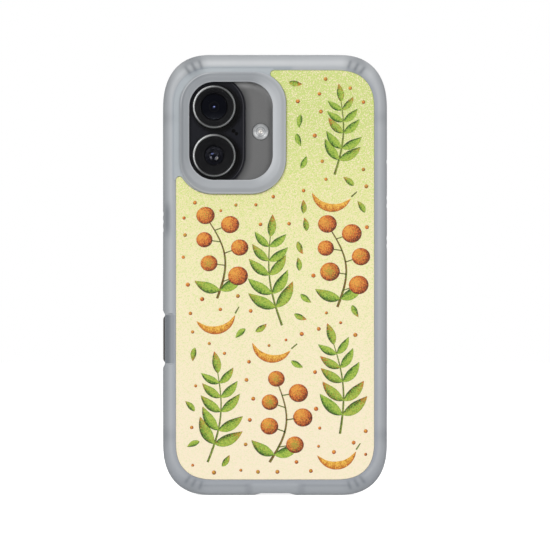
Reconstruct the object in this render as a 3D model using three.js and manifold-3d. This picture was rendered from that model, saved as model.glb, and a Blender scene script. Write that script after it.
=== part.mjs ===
// A smartphone in its protective case, standing on the flat bottom end.
//
// X runs across the back as it is seen from behind, Y runs from the camera side towards the
// screen, and Z runs up from the bottom end. Every length is in millimetres.

import * as THREE from 'three';
import { mergeVertices } from 'three/addons/utils/BufferGeometryUtils.js';
import Module from 'manifold-3d';

const wasm = await Module();
wasm.setup();

// ---------------------------------------------------------------- driving dimensions

const FIT_GAP = 0.3; // clearance between neighbouring pieces
const WELD = 1e-4;
const REACH = 20; // how far a cutting tool runs past the surface it cuts
const CORNER_STEPS = 8;
const ROUND_SEGMENTS = 28;

const CASE_WIDTH = 78.66;
const CASE_HEIGHT = 154.66;
const CASE_BACK_Y = -7; // crest of the camera guard
const CASE_FRONT_Y = 7; // plane of the rim around the screen

const PHONE_WIDTH = 71.6;
const PHONE_HEIGHT = 147.6;
const PHONE_THICKNESS = 7.8;
const PHONE_BACK_Y = -2.4;
const PHONE_FRONT_Y = PHONE_BACK_Y + PHONE_THICKNESS;
const PHONE_LOW_Z = (CASE_HEIGHT - PHONE_HEIGHT) / 2;

// Outlines with soft corners, in X and Z. A corner is a superellipse of the given power.
const CASE_OUTLINE = {
  left: -CASE_WIDTH / 2, right: CASE_WIDTH / 2, low: 0, high: CASE_HEIGHT,
  cornerX: 17.2, cornerLow: 18.4, cornerHigh: 19.5, power: 2.43,
};
const PANEL_EDGE = {
  left: -34.86, right: 34.86, low: 5.42, high: 149.3,
  cornerX: 14.1, cornerLow: 13.4, cornerHigh: 13.8, power: 2.55,
};
const PHONE_OUTLINE = {
  left: -PHONE_WIDTH / 2, right: PHONE_WIDTH / 2, low: 0, high: PHONE_HEIGHT,
  cornerX: 15.5, cornerLow: 15.5, cornerHigh: 15.5, power: 2.4,
};
const RIM_OVERLAP = 0.9; // how far the rim covers the screen's edge

// Outlines with round corners, whose radii go anticlockwise from the top right.
const GUARD_OUTER = { left: -34.33, right: 3.86, low: 105.82, high: 148.66, radii: [10.9, 11.5, 12, 12.3] };
const GUARD_INNER = { left: -30.21, right: -0.78, low: 110.69, high: 145.31, radii: [8.8, 8.8, 8.8, 8.8] };
const PANEL_FILLET = 1.3;

const PANEL_BACK_Y = -4;
const FILM_BACK_Y = -4.2;
const WEB_BACK_Y = -4.25;
const RAIL_CREST_Y = -5;

// Camera island and lenses, on the rear glass. Depths count from the glass towards the back.
const ISLAND_X = -21.36;
const ISLAND_Z = 127.84 - PHONE_LOW_Z;
const ISLAND_HALF_WIDTH = 11;
const ISLAND_HALF_HEIGHT = 19.55;
const ISLAND_HEIGHT = 1.6;
const LENS_SPACING = 17.1;
const LENS_RING_RADIUS = 7.65;
const LENS_RING_BORE = 6.75;
const LENS_LEDGE_BORE = 6;
const LENS_RING_HEIGHT = 1.8;
const LENS_HOLE_RADIUS = 6.6;
const LENS_GLASS_RADIUS = 6.45;
const LENS_GLASS_DEPTH = 0.6;
const LENS_LEDGE_DEPTH = 0.9;
const FLASH_X = -5.04;
const FLASH_Z = 127.7 - PHONE_LOW_Z;
const FLASH_RADIUS = 2.8;

// Layers inside the phone, counted from the outer face of the rear glass.
const REAR_GLASS_FRONT = 0.6;
const INNER_BACK = 1.4; // back of the battery and the board shield
const MIDPLATE_BACK = 4.7;
const MIDPLATE_FRONT = 5.3;
const INNER_FRONT = MIDPLATE_BACK - FIT_GAP;
const FRAME_FRONT = 6.9;
const FRONT_GLASS_BACK = 7.1;
const FRAME_WALL = 2.4;
const KEY_DEPTH_CENTRE = (REAR_GLASS_FRONT + FRAME_FRONT) / 2;
const CONTROL_Y = PHONE_BACK_Y + KEY_DEPTH_CENTRE;

// Side controls. Side is -1 on the left and 1 on the right, as seen from behind.
const KEY_PROUD = 0.3; // also how far a key can be pressed in
const KEY_LENGTH_INSET = 0.4;
const KEY_HALF_THICKNESS = 1.2;
const KEY_INWARD = 1.8;
const COVER_HALF_THICKNESS = 2.3;
const COVER_STANDOFF = 0.25;
const CONTROLS = [
  { name: 'side', cover: 'side_button_cover', side: -1, z: 96, half: 7, dents: [-2.8, 0, 2.8] },
  { name: 'action', cover: 'action_button_cover', side: 1, z: 117.1, half: 3.6, dents: [0] },
  { name: 'volume_up', cover: 'volume_up_cover', side: 1, z: 103, half: 4.9, dents: [-1.4, 1.4] },
  { name: 'volume_down', cover: 'volume_down_cover', side: 1, z: 88.9, half: 4.9, dents: [-1.4, 1.4] },
];
const DENT_RADIUS = 3.4;
const DENT_DEPTH = 0.13;
const DENT_SEGMENTS = 32;

const CAMERA_CONTROL = { name: 'camera_control', side: -1, z: 54.8, half: 8.2, halfThickness: 1.7 };
const SCOOP_HALF = 8.6;
const SCOOP_SLANT = 1.5;
const SCOOP_DEPTH = 0.71;
const SCOOP_BACK_Y = -4.45;
const SCOOP_INNER_X = -35.9;

// Openings in the bottom end.
const PORT_HALF_WIDTH = 6.6;
const PORT_HALF_DEPTH = 3.3;
const PORT_RECESS_HALF = 5.7;
const PORT_RECESS_SLANT = 1.69;
const PORT_RECESS_DEPTH = 0.62;
const SOUND_SLOT = { near: 10.2, far: 21.6, halfDepth: 0.95 };
const SOUND_CHANNEL = { near: 8, far: 26.4, halfDepth: 2.3, height: 0.85 };
const PHONE_PORT = { halfWidth: 4.47, halfDepth: 1.5 };
const SOUND_HOLE_RADIUS = 0.75;
const SOUND_HOLES = [11.5, 14.2, 16.9, 19.6];
const END_SCREW_X = 6.5;

// Cushion pockets on the inside of each corner of the bumper, at these angles from level.
const POCKET_ANGLES = [54, 63.5, 73];
const POCKET_WIDTH = 1;
const POCKET_DEPTH = 1.3;
const POCKET_HALF_Y = 2.9;

// ---------------------------------------------------------------- outlines

function softened(value, power) {
  return Math.sign(value) * Math.abs(value) ** (2 / power);
}

// The points of an outline with soft corners, anticlockwise from the right-hand side.
function softOutline(shape) {
  const { left, right, low, high, cornerX, cornerLow, cornerHigh, power } = shape;
  const corners = [
    [right - cornerX, high - cornerHigh, cornerHigh],
    [left + cornerX, high - cornerHigh, cornerHigh],
    [left + cornerX, low + cornerLow, cornerLow],
    [right - cornerX, low + cornerLow, cornerLow],
  ];
  const points = [];
  corners.forEach(([centreX, centreZ, cornerZ], quarter) => {
    for (let step = 0; step <= CORNER_STEPS; step += 1) {
      const angle = (quarter + step / CORNER_STEPS) * Math.PI / 2;
      const x = centreX + cornerX * softened(Math.cos(angle), power);
      const z = centreZ + cornerZ * softened(Math.sin(angle), power);
      points.push(new THREE.Vector2(x, z));
    }
  });
  return points;
}

function arc(centreX, centreZ, radius, fromAngle, toAngle, steps = CORNER_STEPS) {
  const points = [];
  for (let step = 0; step <= steps; step += 1) {
    const angle = fromAngle + (toAngle - fromAngle) * step / steps;
    points.push(new THREE.Vector2(centreX + radius * Math.cos(angle), centreZ + radius * Math.sin(angle)));
  }
  return points;
}

function roundOutline({ left, right, low, high, radii }) {
  const [topRight, topLeft, lowLeft, lowRight] = radii;
  const quarter = Math.PI / 2;
  return [
    ...arc(right - topRight, high - topRight, topRight, 0, quarter),
    ...arc(left + topLeft, high - topLeft, topLeft, quarter, 2 * quarter),
    ...arc(left + lowLeft, low + lowLeft, lowLeft, 2 * quarter, 3 * quarter),
    ...arc(right - lowRight, low + lowRight, lowRight, 3 * quarter, 4 * quarter),
  ];
}

function pillOutline(halfWidth, halfHeight, centreX, centreZ) {
  const radius = Math.min(halfWidth, halfHeight);
  const spareX = halfWidth - radius;
  const spareZ = halfHeight - radius;
  const quarter = Math.PI / 2;
  return [
    ...arc(centreX + spareX, centreZ + spareZ, radius, 0, quarter),
    ...arc(centreX - spareX, centreZ + spareZ, radius, quarter, 2 * quarter),
    ...arc(centreX - spareX, centreZ - spareZ, radius, 2 * quarter, 3 * quarter),
    ...arc(centreX + spareX, centreZ - spareZ, radius, 3 * quarter, 4 * quarter),
  ];
}

function grown(shape, by) {
  const result = { ...shape };
  result.left -= by;
  result.right += by;
  result.low -= by;
  result.high += by;
  if (shape.radii) {
    result.radii = shape.radii.map((radius) => radius + by);
  } else {
    result.cornerX += by;
    result.cornerLow += by;
    result.cornerHigh += by;
  }
  return result;
}

function raised(shape, by) {
  return { ...shape, low: shape.low + by, high: shape.high + by };
}

// Blends every number of two outline records: 0 gives the first and 1 gives the second.
function blended(first, second, fraction) {
  const mix = (a, b) => a + (b - a) * fraction;
  const result = {};
  for (const key of Object.keys(first)) {
    const list = Array.isArray(first[key]);
    result[key] = list ? first[key].map((value, i) => mix(value, second[key][i])) : mix(first[key], second[key]);
  }
  return result;
}

// The back panel fills the bumper from side to side, apart from the camera guard and the web
// that joins the guard to the bumper's upper left corner. Its two tips there are rounded.
function panelOutline(gap) {
  const edge = grown(PANEL_EDGE, -gap);
  const edgePoints = softOutline(edge);
  const perCorner = CORNER_STEPS + 1;
  const topRight = edgePoints.slice(0, perCorner);
  const lowCorners = edgePoints.slice(2 * perCorner);

  const guard = grown(GUARD_OUTER, gap);
  const [guardTopRight, , guardLowLeft, guardLowRight] = guard.radii;
  const upperCentre = new THREE.Vector2(guard.right - guardTopRight, guard.high - guardTopRight);
  const lowerCentre = new THREE.Vector2(guard.left + guardLowLeft, guard.low + guardLowLeft);
  const tip = PANEL_FILLET - gap;

  const upperTip = new THREE.Vector2(0, edge.high - tip);
  const upperRise = upperTip.y - upperCentre.y;
  upperTip.x = upperCentre.x + Math.sqrt((guardTopRight + tip) ** 2 - upperRise ** 2);
  const upperAngle = Math.atan2(upperRise, upperTip.x - upperCentre.x);

  const lowerTip = new THREE.Vector2(edge.left + tip, 0);
  const lowerRun = lowerTip.x - lowerCentre.x;
  lowerTip.y = lowerCentre.y - Math.sqrt((guardLowLeft + tip) ** 2 - lowerRun ** 2);
  const lowerAngle = Math.atan2(lowerTip.y - lowerCentre.y, lowerRun);

  const quarter = Math.PI / 2;
  return [
    ...lowCorners,
    ...topRight,
    ...arc(upperTip.x, upperTip.y, tip, quarter, upperAngle + Math.PI),
    ...arc(upperCentre.x, upperCentre.y, guardTopRight, upperAngle, 0).slice(1),
    ...arc(guard.right - guardLowRight, guard.low + guardLowRight, guardLowRight, 0, -quarter),
    ...arc(lowerCentre.x, lowerCentre.y, guardLowLeft, -quarter, lowerAngle),
    ...arc(lowerTip.x, lowerTip.y, tip, lowerAngle + Math.PI, Math.PI).slice(1),
  ];
}

// ---------------------------------------------------------------- solids

function solidOf(geometry) {
  const bare = geometry.clone();
  bare.deleteAttribute('normal');
  bare.deleteAttribute('uv');
  const welded = mergeVertices(bare, WELD);
  const vertProperties = new Float32Array(welded.attributes.position.array);
  const triVerts = new Uint32Array(welded.index.array);
  return new wasm.Manifold(new wasm.Mesh({ numProp: 3, vertProperties, triVerts }));
}

function geometryOf(solid) {
  const mesh = solid.getMesh();
  const geometry = new THREE.BufferGeometry();
  geometry.setAttribute('position', new THREE.BufferAttribute(mesh.vertProperties, mesh.numProp));
  geometry.setIndex(new THREE.BufferAttribute(mesh.triVerts, 1));
  return geometry;
}

function cut(geometry, ...tools) {
  let solid = solidOf(geometry);
  for (const tool of tools) {
    solid = solid.subtract(solidOf(tool));
  }
  return geometryOf(solid);
}

function join(geometry, ...others) {
  let solid = solidOf(geometry);
  for (const other of others) {
    solid = solid.add(solidOf(other));
  }
  return geometryOf(solid);
}

// A plate whose outline lies in X and Z, between two depths.
function plate(points, backY, frontY) {
  const settings = { depth: frontY - backY, bevelEnabled: false };
  const geometry = new THREE.ExtrudeGeometry(new THREE.Shape(points), settings);
  return geometry.rotateX(Math.PI / 2).translate(0, frontY, 0);
}

// A prism whose outline lies in X and Y, between two heights.
function post(points, lowZ, highZ) {
  const settings = { depth: highZ - lowZ, bevelEnabled: false };
  return new THREE.ExtrudeGeometry(new THREE.Shape(points), settings).translate(0, 0, lowZ);
}

function block(x, y, z) {
  const geometry = new THREE.BoxGeometry(x[1] - x[0], y[1] - y[0], z[1] - z[0]);
  return geometry.translate((x[0] + x[1]) / 2, (y[0] + y[1]) / 2, (z[0] + z[1]) / 2);
}

// A round disc or bar along Y.
function disc(radius, x, z, backY, frontY, segments = ROUND_SEGMENTS) {
  const geometry = new THREE.CylinderGeometry(radius, radius, frontY - backY, segments);
  return geometry.translate(x, (backY + frontY) / 2, z);
}

// Joins a list of levels, each an outline at a depth, by walls. The levels run from the front
// of the outer side to the back. A band ends where it began, and a slab has a flat cap at
// each end.
function lofted(levels, isBand) {
  const count = levels[0].points.length;
  const positions = [];
  const indices = [];
  for (const { points, y } of levels) {
    for (const point of points) {
      positions.push(point.x, y, point.y);
    }
  }
  const walls = isBand ? levels.length : levels.length - 1;
  for (let level = 0; level < walls; level += 1) {
    const here = level * count;
    const next = ((level + 1) % levels.length) * count;
    for (let i = 0; i < count; i += 1) {
      const j = (i + 1) % count;
      indices.push(here + i, here + j, next + j, here + i, next + j, next + i);
    }
  }
  if (!isBand) {
    const last = (levels.length - 1) * count;
    for (const [a, b, c] of THREE.ShapeUtils.triangulateShape(levels[0].points, [])) {
      indices.push(a, c, b, last + a, last + b, last + c);
    }
  }
  const geometry = new THREE.BufferGeometry();
  geometry.setAttribute('position', new THREE.Float32BufferAttribute(positions, 3));
  geometry.setIndex(indices);
  return geometry;
}

// ---------------------------------------------------------------- finishes and groups

function finish(color, roughness, metalness = 0, opacity = 1) {
  return new THREE.MeshStandardMaterial({
    color, roughness, metalness, opacity, transparent: opacity < 1,
  });
}

const FINISHES = {
  softShell: finish(0xa4a8ad, 0.5, 0, 0.9),
  controlStrip: finish(0x4e4e4f, 0.45),
  panel: finish(0xe9e6d8, 0.4),
  print: finish(0xe6e0af, 0.5),
  aluminium: finish(0x6d7074, 0.35, 0.9),
  greyGlass: finish(0x6b6b6b, 0.4),
  blackGlass: finish(0x1c1d21, 0.12),
  steelRing: finish(0x8c8f90, 0.25, 1),
  lensGlass: finish(0x111214, 0.05, 0, 0.5),
  flashLens: finish(0xe4dfdc, 0.3),
  screenGlass: finish(0x08090b, 0.06),
  blackPlastic: finish(0x1b1c1e, 0.5),
  battery: finish(0x26272a, 0.6),
  circuitBoard: finish(0x17321f, 0.55),
  shieldMetal: finish(0xb9bbbd, 0.3, 1),
  copper: finish(0xb4703c, 0.35, 1),
  flex: finish(0x8a5a1e, 0.5),
  gasket: finish(0x2a2a2a, 0.8),
};

const assembly = new THREE.Group();
const protectiveCase = new THREE.Group();
const phone = new THREE.Group();
phone.position.set(0, PHONE_BACK_Y, PHONE_LOW_Z);
assembly.add(protectiveCase, phone);

function add(group, name, geometry, material, position = [0, 0, 0]) {
  const mesh = new THREE.Mesh(geometry, material);
  mesh.name = name;
  mesh.position.set(...position);
  group.add(mesh);
}

// ---------------------------------------------------------------- the protective case

const PHONE_SIDE = raised(PHONE_OUTLINE, PHONE_LOW_Z);
const POCKET_WALL = grown(PHONE_SIDE, FIT_GAP);
const RIM_EDGE = grown(PHONE_SIDE, -RIM_OVERLAP);

// The rail's section, from the outer side round the back to the panel, then in along the
// phone and out over the screen's edge. Fractions run from the outside to the named outline.
function railBand() {
  const section = [
    [RIM_EDGE, 0, 5.2],
    [PANEL_EDGE, 0, -2.8],
    [PANEL_EDGE, 0.05, -3.55],
    [PANEL_EDGE, 0.17, -4.25],
    [PANEL_EDGE, 0.36, -4.75],
    [PANEL_EDGE, 0.6, RAIL_CREST_Y],
    [PANEL_EDGE, 0.8, -4.85],
    [PANEL_EDGE, 1, -4.4],
    [PANEL_EDGE, 1, PHONE_BACK_Y],
    [POCKET_WALL, 1, PHONE_BACK_Y],
    [POCKET_WALL, 1, PHONE_FRONT_Y],
    [RIM_EDGE, 1, PHONE_FRONT_Y],
    [RIM_EDGE, 1, 6.4],
    [RIM_EDGE, 0.84, CASE_FRONT_Y],
    [RIM_EDGE, 0.38, CASE_FRONT_Y],
    [RIM_EDGE, 0.14, 6.4],
  ];
  const levels = section.map(([inner, fraction, y]) => (
    { points: softOutline(blended(CASE_OUTLINE, inner, fraction)), y }
  ));
  return lofted(levels, true);
}

function guardBand() {
  const section = [
    [0, PHONE_BACK_Y],
    [0, -4.9],
    [0.12, -6.1],
    [0.35, -6.85],
    [0.52, CASE_BACK_Y],
    [0.8, -6.75],
    [1, -6.2],
    [1, PHONE_BACK_Y],
  ];
  const levels = section.map(([fraction, y]) => (
    { points: roundOutline(blended(GUARD_OUTER, GUARD_INNER, fraction)), y }
  ));
  return lofted(levels, true);
}

// The flat web between the guard and the rail, bounded by the tips of the panel.
function guardWeb() {
  const overlap = 0.2;
  const sheet = plate(softOutline(grown(PANEL_EDGE, overlap)), WEB_BACK_Y, PHONE_BACK_Y);
  const panel = plate(panelOutline(0), -REACH, REACH);
  const guardHole = plate(roundOutline(grown(GUARD_OUTER, -2 * overlap)), -REACH, REACH);
  return cut(sheet, panel, guardHole);
}

function islandPocket() {
  const pill = pillOutline(
    ISLAND_HALF_WIDTH + FIT_GAP, ISLAND_HALF_HEIGHT + FIT_GAP, ISLAND_X, ISLAND_Z + PHONE_LOW_Z,
  );
  return plate(pill, PHONE_BACK_Y - ISLAND_HEIGHT - FIT_GAP, PHONE_FRONT_Y);
}

function coverSlot({ side, z, half, halfThickness = COVER_HALF_THICKNESS }) {
  const x = [side * PHONE_WIDTH / 2, side * (CASE_WIDTH / 2 + REACH)].sort((a, b) => a - b);
  const clear = halfThickness + FIT_GAP;
  return block(x, [CONTROL_Y - clear, CONTROL_Y + clear], [z - half - FIT_GAP, z + half + FIT_GAP]);
}

function dentTools({ side, z, dents }) {
  const centreX = side * (CASE_WIDTH / 2 - DENT_DEPTH + DENT_RADIUS);
  return dents.map((offset) => disc(DENT_RADIUS, centreX, z + offset, -REACH, REACH, DENT_SEGMENTS));
}

// The finger scoop round the camera control: slanted ends on the side, and a lowered crest.
function scoopTools() {
  const { side, z } = CAMERA_CONTROL;
  const floorX = side * (CASE_WIDTH / 2 - SCOOP_DEPTH);
  const outside = side * (CASE_WIDTH / 2 + SCOOP_DEPTH);
  const spread = SCOOP_HALF + 2 * SCOOP_SLANT;
  const trough = [
    new THREE.Vector2(floorX, z - SCOOP_HALF),
    new THREE.Vector2(floorX, z + SCOOP_HALF),
    new THREE.Vector2(outside, z + spread),
    new THREE.Vector2(outside, z - spread),
  ];
  const crest = block([-CASE_WIDTH, SCOOP_INNER_X], [-REACH, SCOOP_BACK_Y], [z - SCOOP_HALF, z + SCOOP_HALF]);
  return [plate(trough, -REACH, REACH), crest];
}

function portTools() {
  const spread = PORT_RECESS_HALF + 2 * PORT_RECESS_SLANT;
  const recess = [
    new THREE.Vector2(-PORT_RECESS_HALF, PORT_RECESS_DEPTH),
    new THREE.Vector2(-spread, -PORT_RECESS_DEPTH),
    new THREE.Vector2(spread, -PORT_RECESS_DEPTH),
    new THREE.Vector2(PORT_RECESS_HALF, PORT_RECESS_DEPTH),
  ];
  const hole = pillOutline(PORT_HALF_WIDTH, PORT_HALF_DEPTH, 0, CONTROL_Y);
  return [plate(recess, -REACH, REACH), post(hole, -REACH, PHONE_LOW_Z)];
}

function soundTools() {
  const tools = [];
  for (const side of [-1, 1]) {
    const middle = side * (SOUND_SLOT.near + SOUND_SLOT.far) / 2;
    const halfWidth = (SOUND_SLOT.far - SOUND_SLOT.near) / 2;
    tools.push(post(pillOutline(halfWidth, SOUND_SLOT.halfDepth, middle, CONTROL_Y), -REACH, PHONE_LOW_Z));
    const x = [side * SOUND_CHANNEL.near, side * SOUND_CHANNEL.far].sort((a, b) => a - b);
    const y = [CONTROL_Y - SOUND_CHANNEL.halfDepth, CONTROL_Y + SOUND_CHANNEL.halfDepth];
    tools.push(block(x, y, [PHONE_LOW_Z - SOUND_CHANNEL.height, PHONE_LOW_Z]));
  }
  return tools;
}

function pocketTools() {
  const tools = [];
  const cornerX = PHONE_WIDTH / 2 - PHONE_OUTLINE.cornerX;
  const cornerZ = PHONE_HEIGHT / 2 - PHONE_OUTLINE.cornerHigh;
  for (const sideX of [-1, 1]) {
    for (const sideZ of [-1, 1]) {
      for (const degrees of POCKET_ANGLES) {
        const angle = THREE.MathUtils.degToRad(degrees);
        const cosine = softened(Math.cos(angle), PHONE_OUTLINE.power);
        const sine = softened(Math.sin(angle), PHONE_OUTLINE.power);
        const x = sideX * (cornerX + PHONE_OUTLINE.cornerX * cosine);
        const z = sideZ * (cornerZ + PHONE_OUTLINE.cornerHigh * sine);
        const tool = new THREE.BoxGeometry(2 * POCKET_DEPTH + 2 * FIT_GAP, 2 * POCKET_HALF_Y, POCKET_WIDTH);
        tool.rotateY(-Math.atan2(sideZ * sine, sideX * cosine));
        tools.push(tool.translate(x, CONTROL_Y, z + CASE_HEIGHT / 2));
      }
    }
  }
  return tools;
}

function bumperFrame() {
  const body = join(railBand(), guardWeb(), guardBand());
  return cut(
    body,
    islandPocket(),
    ...CONTROLS.map(coverSlot),
    coverSlot(CAMERA_CONTROL),
    ...CONTROLS.flatMap(dentTools),
    ...scoopTools(),
    ...portTools(),
    ...soundTools(),
    ...pocketTools(),
  );
}

function buttonCover(control) {
  const { side, half } = control;
  const outer = side * CASE_WIDTH / 2;
  const inner = side * (PHONE_WIDTH / 2 + KEY_PROUD + COVER_STANDOFF);
  const x = [outer, inner].sort((a, b) => a - b);
  const pad = block(x, [-COVER_HALF_THICKNESS, COVER_HALF_THICKNESS], [-half, half]);
  return cut(pad, ...dentTools({ ...control, z: 0 }));
}

function controlStrip() {
  const { side, half, halfThickness } = CAMERA_CONTROL;
  const bevel = 0.5;
  const outer = side * CASE_WIDTH / 2;
  const inner = side * (PHONE_WIDTH / 2 + KEY_PROUD + COVER_STANDOFF);
  const profile = [
    new THREE.Vector2(inner, -half),
    new THREE.Vector2(inner, half),
    new THREE.Vector2(outer - side * bevel, half),
    new THREE.Vector2(outer, half - 2 * bevel),
    new THREE.Vector2(outer, -half + 2 * bevel),
    new THREE.Vector2(outer - side * bevel, -half),
  ];
  return plate(profile, -halfThickness, halfThickness);
}

function buildCase() {
  const panel = panelOutline(FIT_GAP);
  add(protectiveCase, 'bumper_frame', bumperFrame(), FINISHES.softShell);
  add(protectiveCase, 'back_plate', plate(panel, PANEL_BACK_Y, PHONE_BACK_Y), FINISHES.panel);
  add(protectiveCase, 'print_film', plate(panel, FILM_BACK_Y, PANEL_BACK_Y), FINISHES.print);
  for (const control of CONTROLS) {
    add(protectiveCase, control.cover, buttonCover(control), FINISHES.softShell, [0, CONTROL_Y, control.z]);
  }
  const strip = [0, CONTROL_Y, CAMERA_CONTROL.z];
  add(protectiveCase, 'camera_control_cover', controlStrip(), FINISHES.controlStrip, strip);
}

// ---------------------------------------------------------------- the phone's outer shell

function keySlot({ side, z, half }) {
  const x = [side * (PHONE_WIDTH / 2 - FRAME_WALL - 1), side * (PHONE_WIDTH / 2 + 1)].sort((a, b) => a - b);
  const clear = KEY_HALF_THICKNESS + FIT_GAP;
  const reach = half - KEY_LENGTH_INSET + FIT_GAP;
  const middle = z - PHONE_LOW_Z;
  return block(x, [KEY_DEPTH_CENTRE - clear, KEY_DEPTH_CENTRE + clear], [middle - reach, middle + reach]);
}

// The metal band with its midplate, which is open for the port and the front camera.
function phoneFrame() {
  const edge = 0.45;
  const inner = grown(PHONE_OUTLINE, -FRAME_WALL);
  const levels = [
    [grown(PHONE_OUTLINE, -edge), FRAME_FRONT],
    [PHONE_OUTLINE, FRAME_FRONT - edge],
    [PHONE_OUTLINE, REAR_GLASS_FRONT + edge],
    [grown(PHONE_OUTLINE, -edge), REAR_GLASS_FRONT],
    [inner, REAR_GLASS_FRONT],
    [inner, FRAME_FRONT],
  ].map(([shape, y]) => ({ points: softOutline(shape), y }));
  const midplate = plate(softOutline(grown(inner, 0.5)), MIDPLATE_BACK, MIDPLATE_FRONT);
  const port = pillOutline(PHONE_PORT.halfWidth, PHONE_PORT.halfDepth, 0, KEY_DEPTH_CENTRE);
  const soundHoles = [];
  for (const x of SOUND_HOLES) {
    for (const side of [-1, 1]) {
      const hole = new THREE.CylinderGeometry(SOUND_HOLE_RADIUS, SOUND_HOLE_RADIUS, 2 * FRAME_WALL + 1, 10);
      soundHoles.push(hole.rotateX(Math.PI / 2).translate(side * x, KEY_DEPTH_CENTRE, FRAME_WALL / 2));
    }
  }
  const screwHoles = [-1, 1].map((side) => {
    const hole = new THREE.CylinderGeometry(END_SCREW.hole, END_SCREW.hole, 2 * FRAME_WALL + 1, 12);
    return hole.rotateX(Math.PI / 2).translate(side * END_SCREW_X, KEY_DEPTH_CENTRE, FRAME_WALL / 2);
  });
  return cut(
    join(lofted(levels, true), midplate),
    ...CONTROLS.map(keySlot),
    keySlot(CAMERA_CONTROL),
    post(port, -1, FRAME_WALL + 1),
    block([-7.5, 7.5], [MIDPLATE_BACK - 1, MIDPLATE_FRONT + 1], [FRAME_WALL + 0.1, 13]),
    block([-12, 12], [MIDPLATE_BACK - 1, MIDPLATE_FRONT + 1], [134.5, 144]),
    ...soundHoles,
    ...screwHoles,
  );
}

function rearGlass() {
  const levels = [
    [grown(PHONE_OUTLINE, -0.3), REAR_GLASS_FRONT],
    [grown(PHONE_OUTLINE, -0.4), 0.3],
    [grown(PHONE_OUTLINE, -0.8), 0],
  ].map(([shape, y]) => ({ points: softOutline(shape), y }));
  const lensHoles = LENS_HEIGHTS.map((z) => disc(LENS_HOLE_RADIUS, ISLAND_X, z, -1, 2));
  return cut(lofted(levels, false), ...lensHoles, disc(FLASH_RADIUS + FIT_GAP, FLASH_X, FLASH_Z, -1, 2));
}

function cameraIsland() {
  const crown = 0.35;
  const outline = (inset) => (
    pillOutline(ISLAND_HALF_WIDTH - inset, ISLAND_HALF_HEIGHT - inset, ISLAND_X, ISLAND_Z)
  );
  const body = lofted([
    { points: outline(0), y: 0 },
    { points: outline(0), y: crown - ISLAND_HEIGHT },
    { points: outline(crown), y: -ISLAND_HEIGHT },
  ], false);
  return cut(body, ...LENS_HEIGHTS.map((z) => disc(LENS_HOLE_RADIUS, ISLAND_X, z, -REACH, REACH)));
}

// Turned ring with a ledge inside, on which the lens glass rests.
function lensRing() {
  const bevel = 0.3;
  const ledgeY = -LENS_LEDGE_DEPTH;
  const profile = [
    [LENS_RING_RADIUS, -LENS_RING_HEIGHT + bevel],
    [LENS_RING_RADIUS, 0],
    [LENS_LEDGE_BORE, 0],
    [LENS_LEDGE_BORE, ledgeY],
    [LENS_RING_BORE, ledgeY],
    [LENS_RING_BORE, -LENS_RING_HEIGHT + bevel],
    [LENS_RING_BORE + bevel, -LENS_RING_HEIGHT],
    [LENS_RING_RADIUS - bevel, -LENS_RING_HEIGHT],
  ];
  profile.push(profile[0]);
  return new THREE.LatheGeometry(profile.map(([r, y]) => new THREE.Vector2(r, y)), ROUND_SEGMENTS);
}

function cameraModule() {
  const halfBody = 6.6;
  const bodyBack = REAR_GLASS_FRONT + FIT_GAP;
  const barrelRadius = LENS_LEDGE_BORE - FIT_GAP;
  const barrelBack = -ISLAND_HEIGHT - LENS_LEDGE_DEPTH + FIT_GAP;
  const body = block([-halfBody, halfBody], [bodyBack, INNER_FRONT], [-halfBody, halfBody]);
  const barrel = disc(barrelRadius, 0, 0, barrelBack, bodyBack + 1);
  const dish = disc(3.4, 0, 0, barrelBack - 1, barrelBack + 0.6, 20);
  return cut(join(body, barrel), dish);
}

function frontGlass() {
  const edge = 0.15;
  const levels = [
    [grown(PHONE_OUTLINE, -0.6), PHONE_THICKNESS],
    [grown(PHONE_OUTLINE, -edge), PHONE_THICKNESS - 0.3],
    [grown(PHONE_OUTLINE, -edge), FRONT_GLASS_BACK],
  ].map(([shape, y]) => ({ points: softOutline(shape), y }));
  return lofted(levels, false);
}

const SENSOR_WINDOW = { halfWidth: 10.4, halfHeight: 2.95, z: 138.7 };

function displayPanel() {
  const outline = softOutline(grown(PHONE_OUTLINE, -FRAME_WALL - FIT_GAP));
  const panel = plate(outline, MIDPLATE_FRONT + FIT_GAP, FRONT_GLASS_BACK);
  const window = pillOutline(SENSOR_WINDOW.halfWidth, SENSOR_WINDOW.halfHeight, 0, SENSOR_WINDOW.z);
  return cut(panel, plate(window, 0, REACH));
}

function displayGasket() {
  const outer = softOutline(grown(PHONE_OUTLINE, -0.6));
  const inner = softOutline(grown(PHONE_OUTLINE, -FRAME_WALL + FIT_GAP));
  const levels = [
    { points: outer, y: FRONT_GLASS_BACK },
    { points: outer, y: FRAME_FRONT },
    { points: inner, y: FRAME_FRONT },
    { points: inner, y: FRONT_GLASS_BACK },
  ];
  return lofted(levels, true);
}

const LENS_HEIGHTS = [ISLAND_Z + LENS_SPACING / 2, ISLAND_Z - LENS_SPACING / 2];
const END_SCREW = { head: 0.75, shank: 0.55, length: 3.4, hole: 1.05 };

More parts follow.
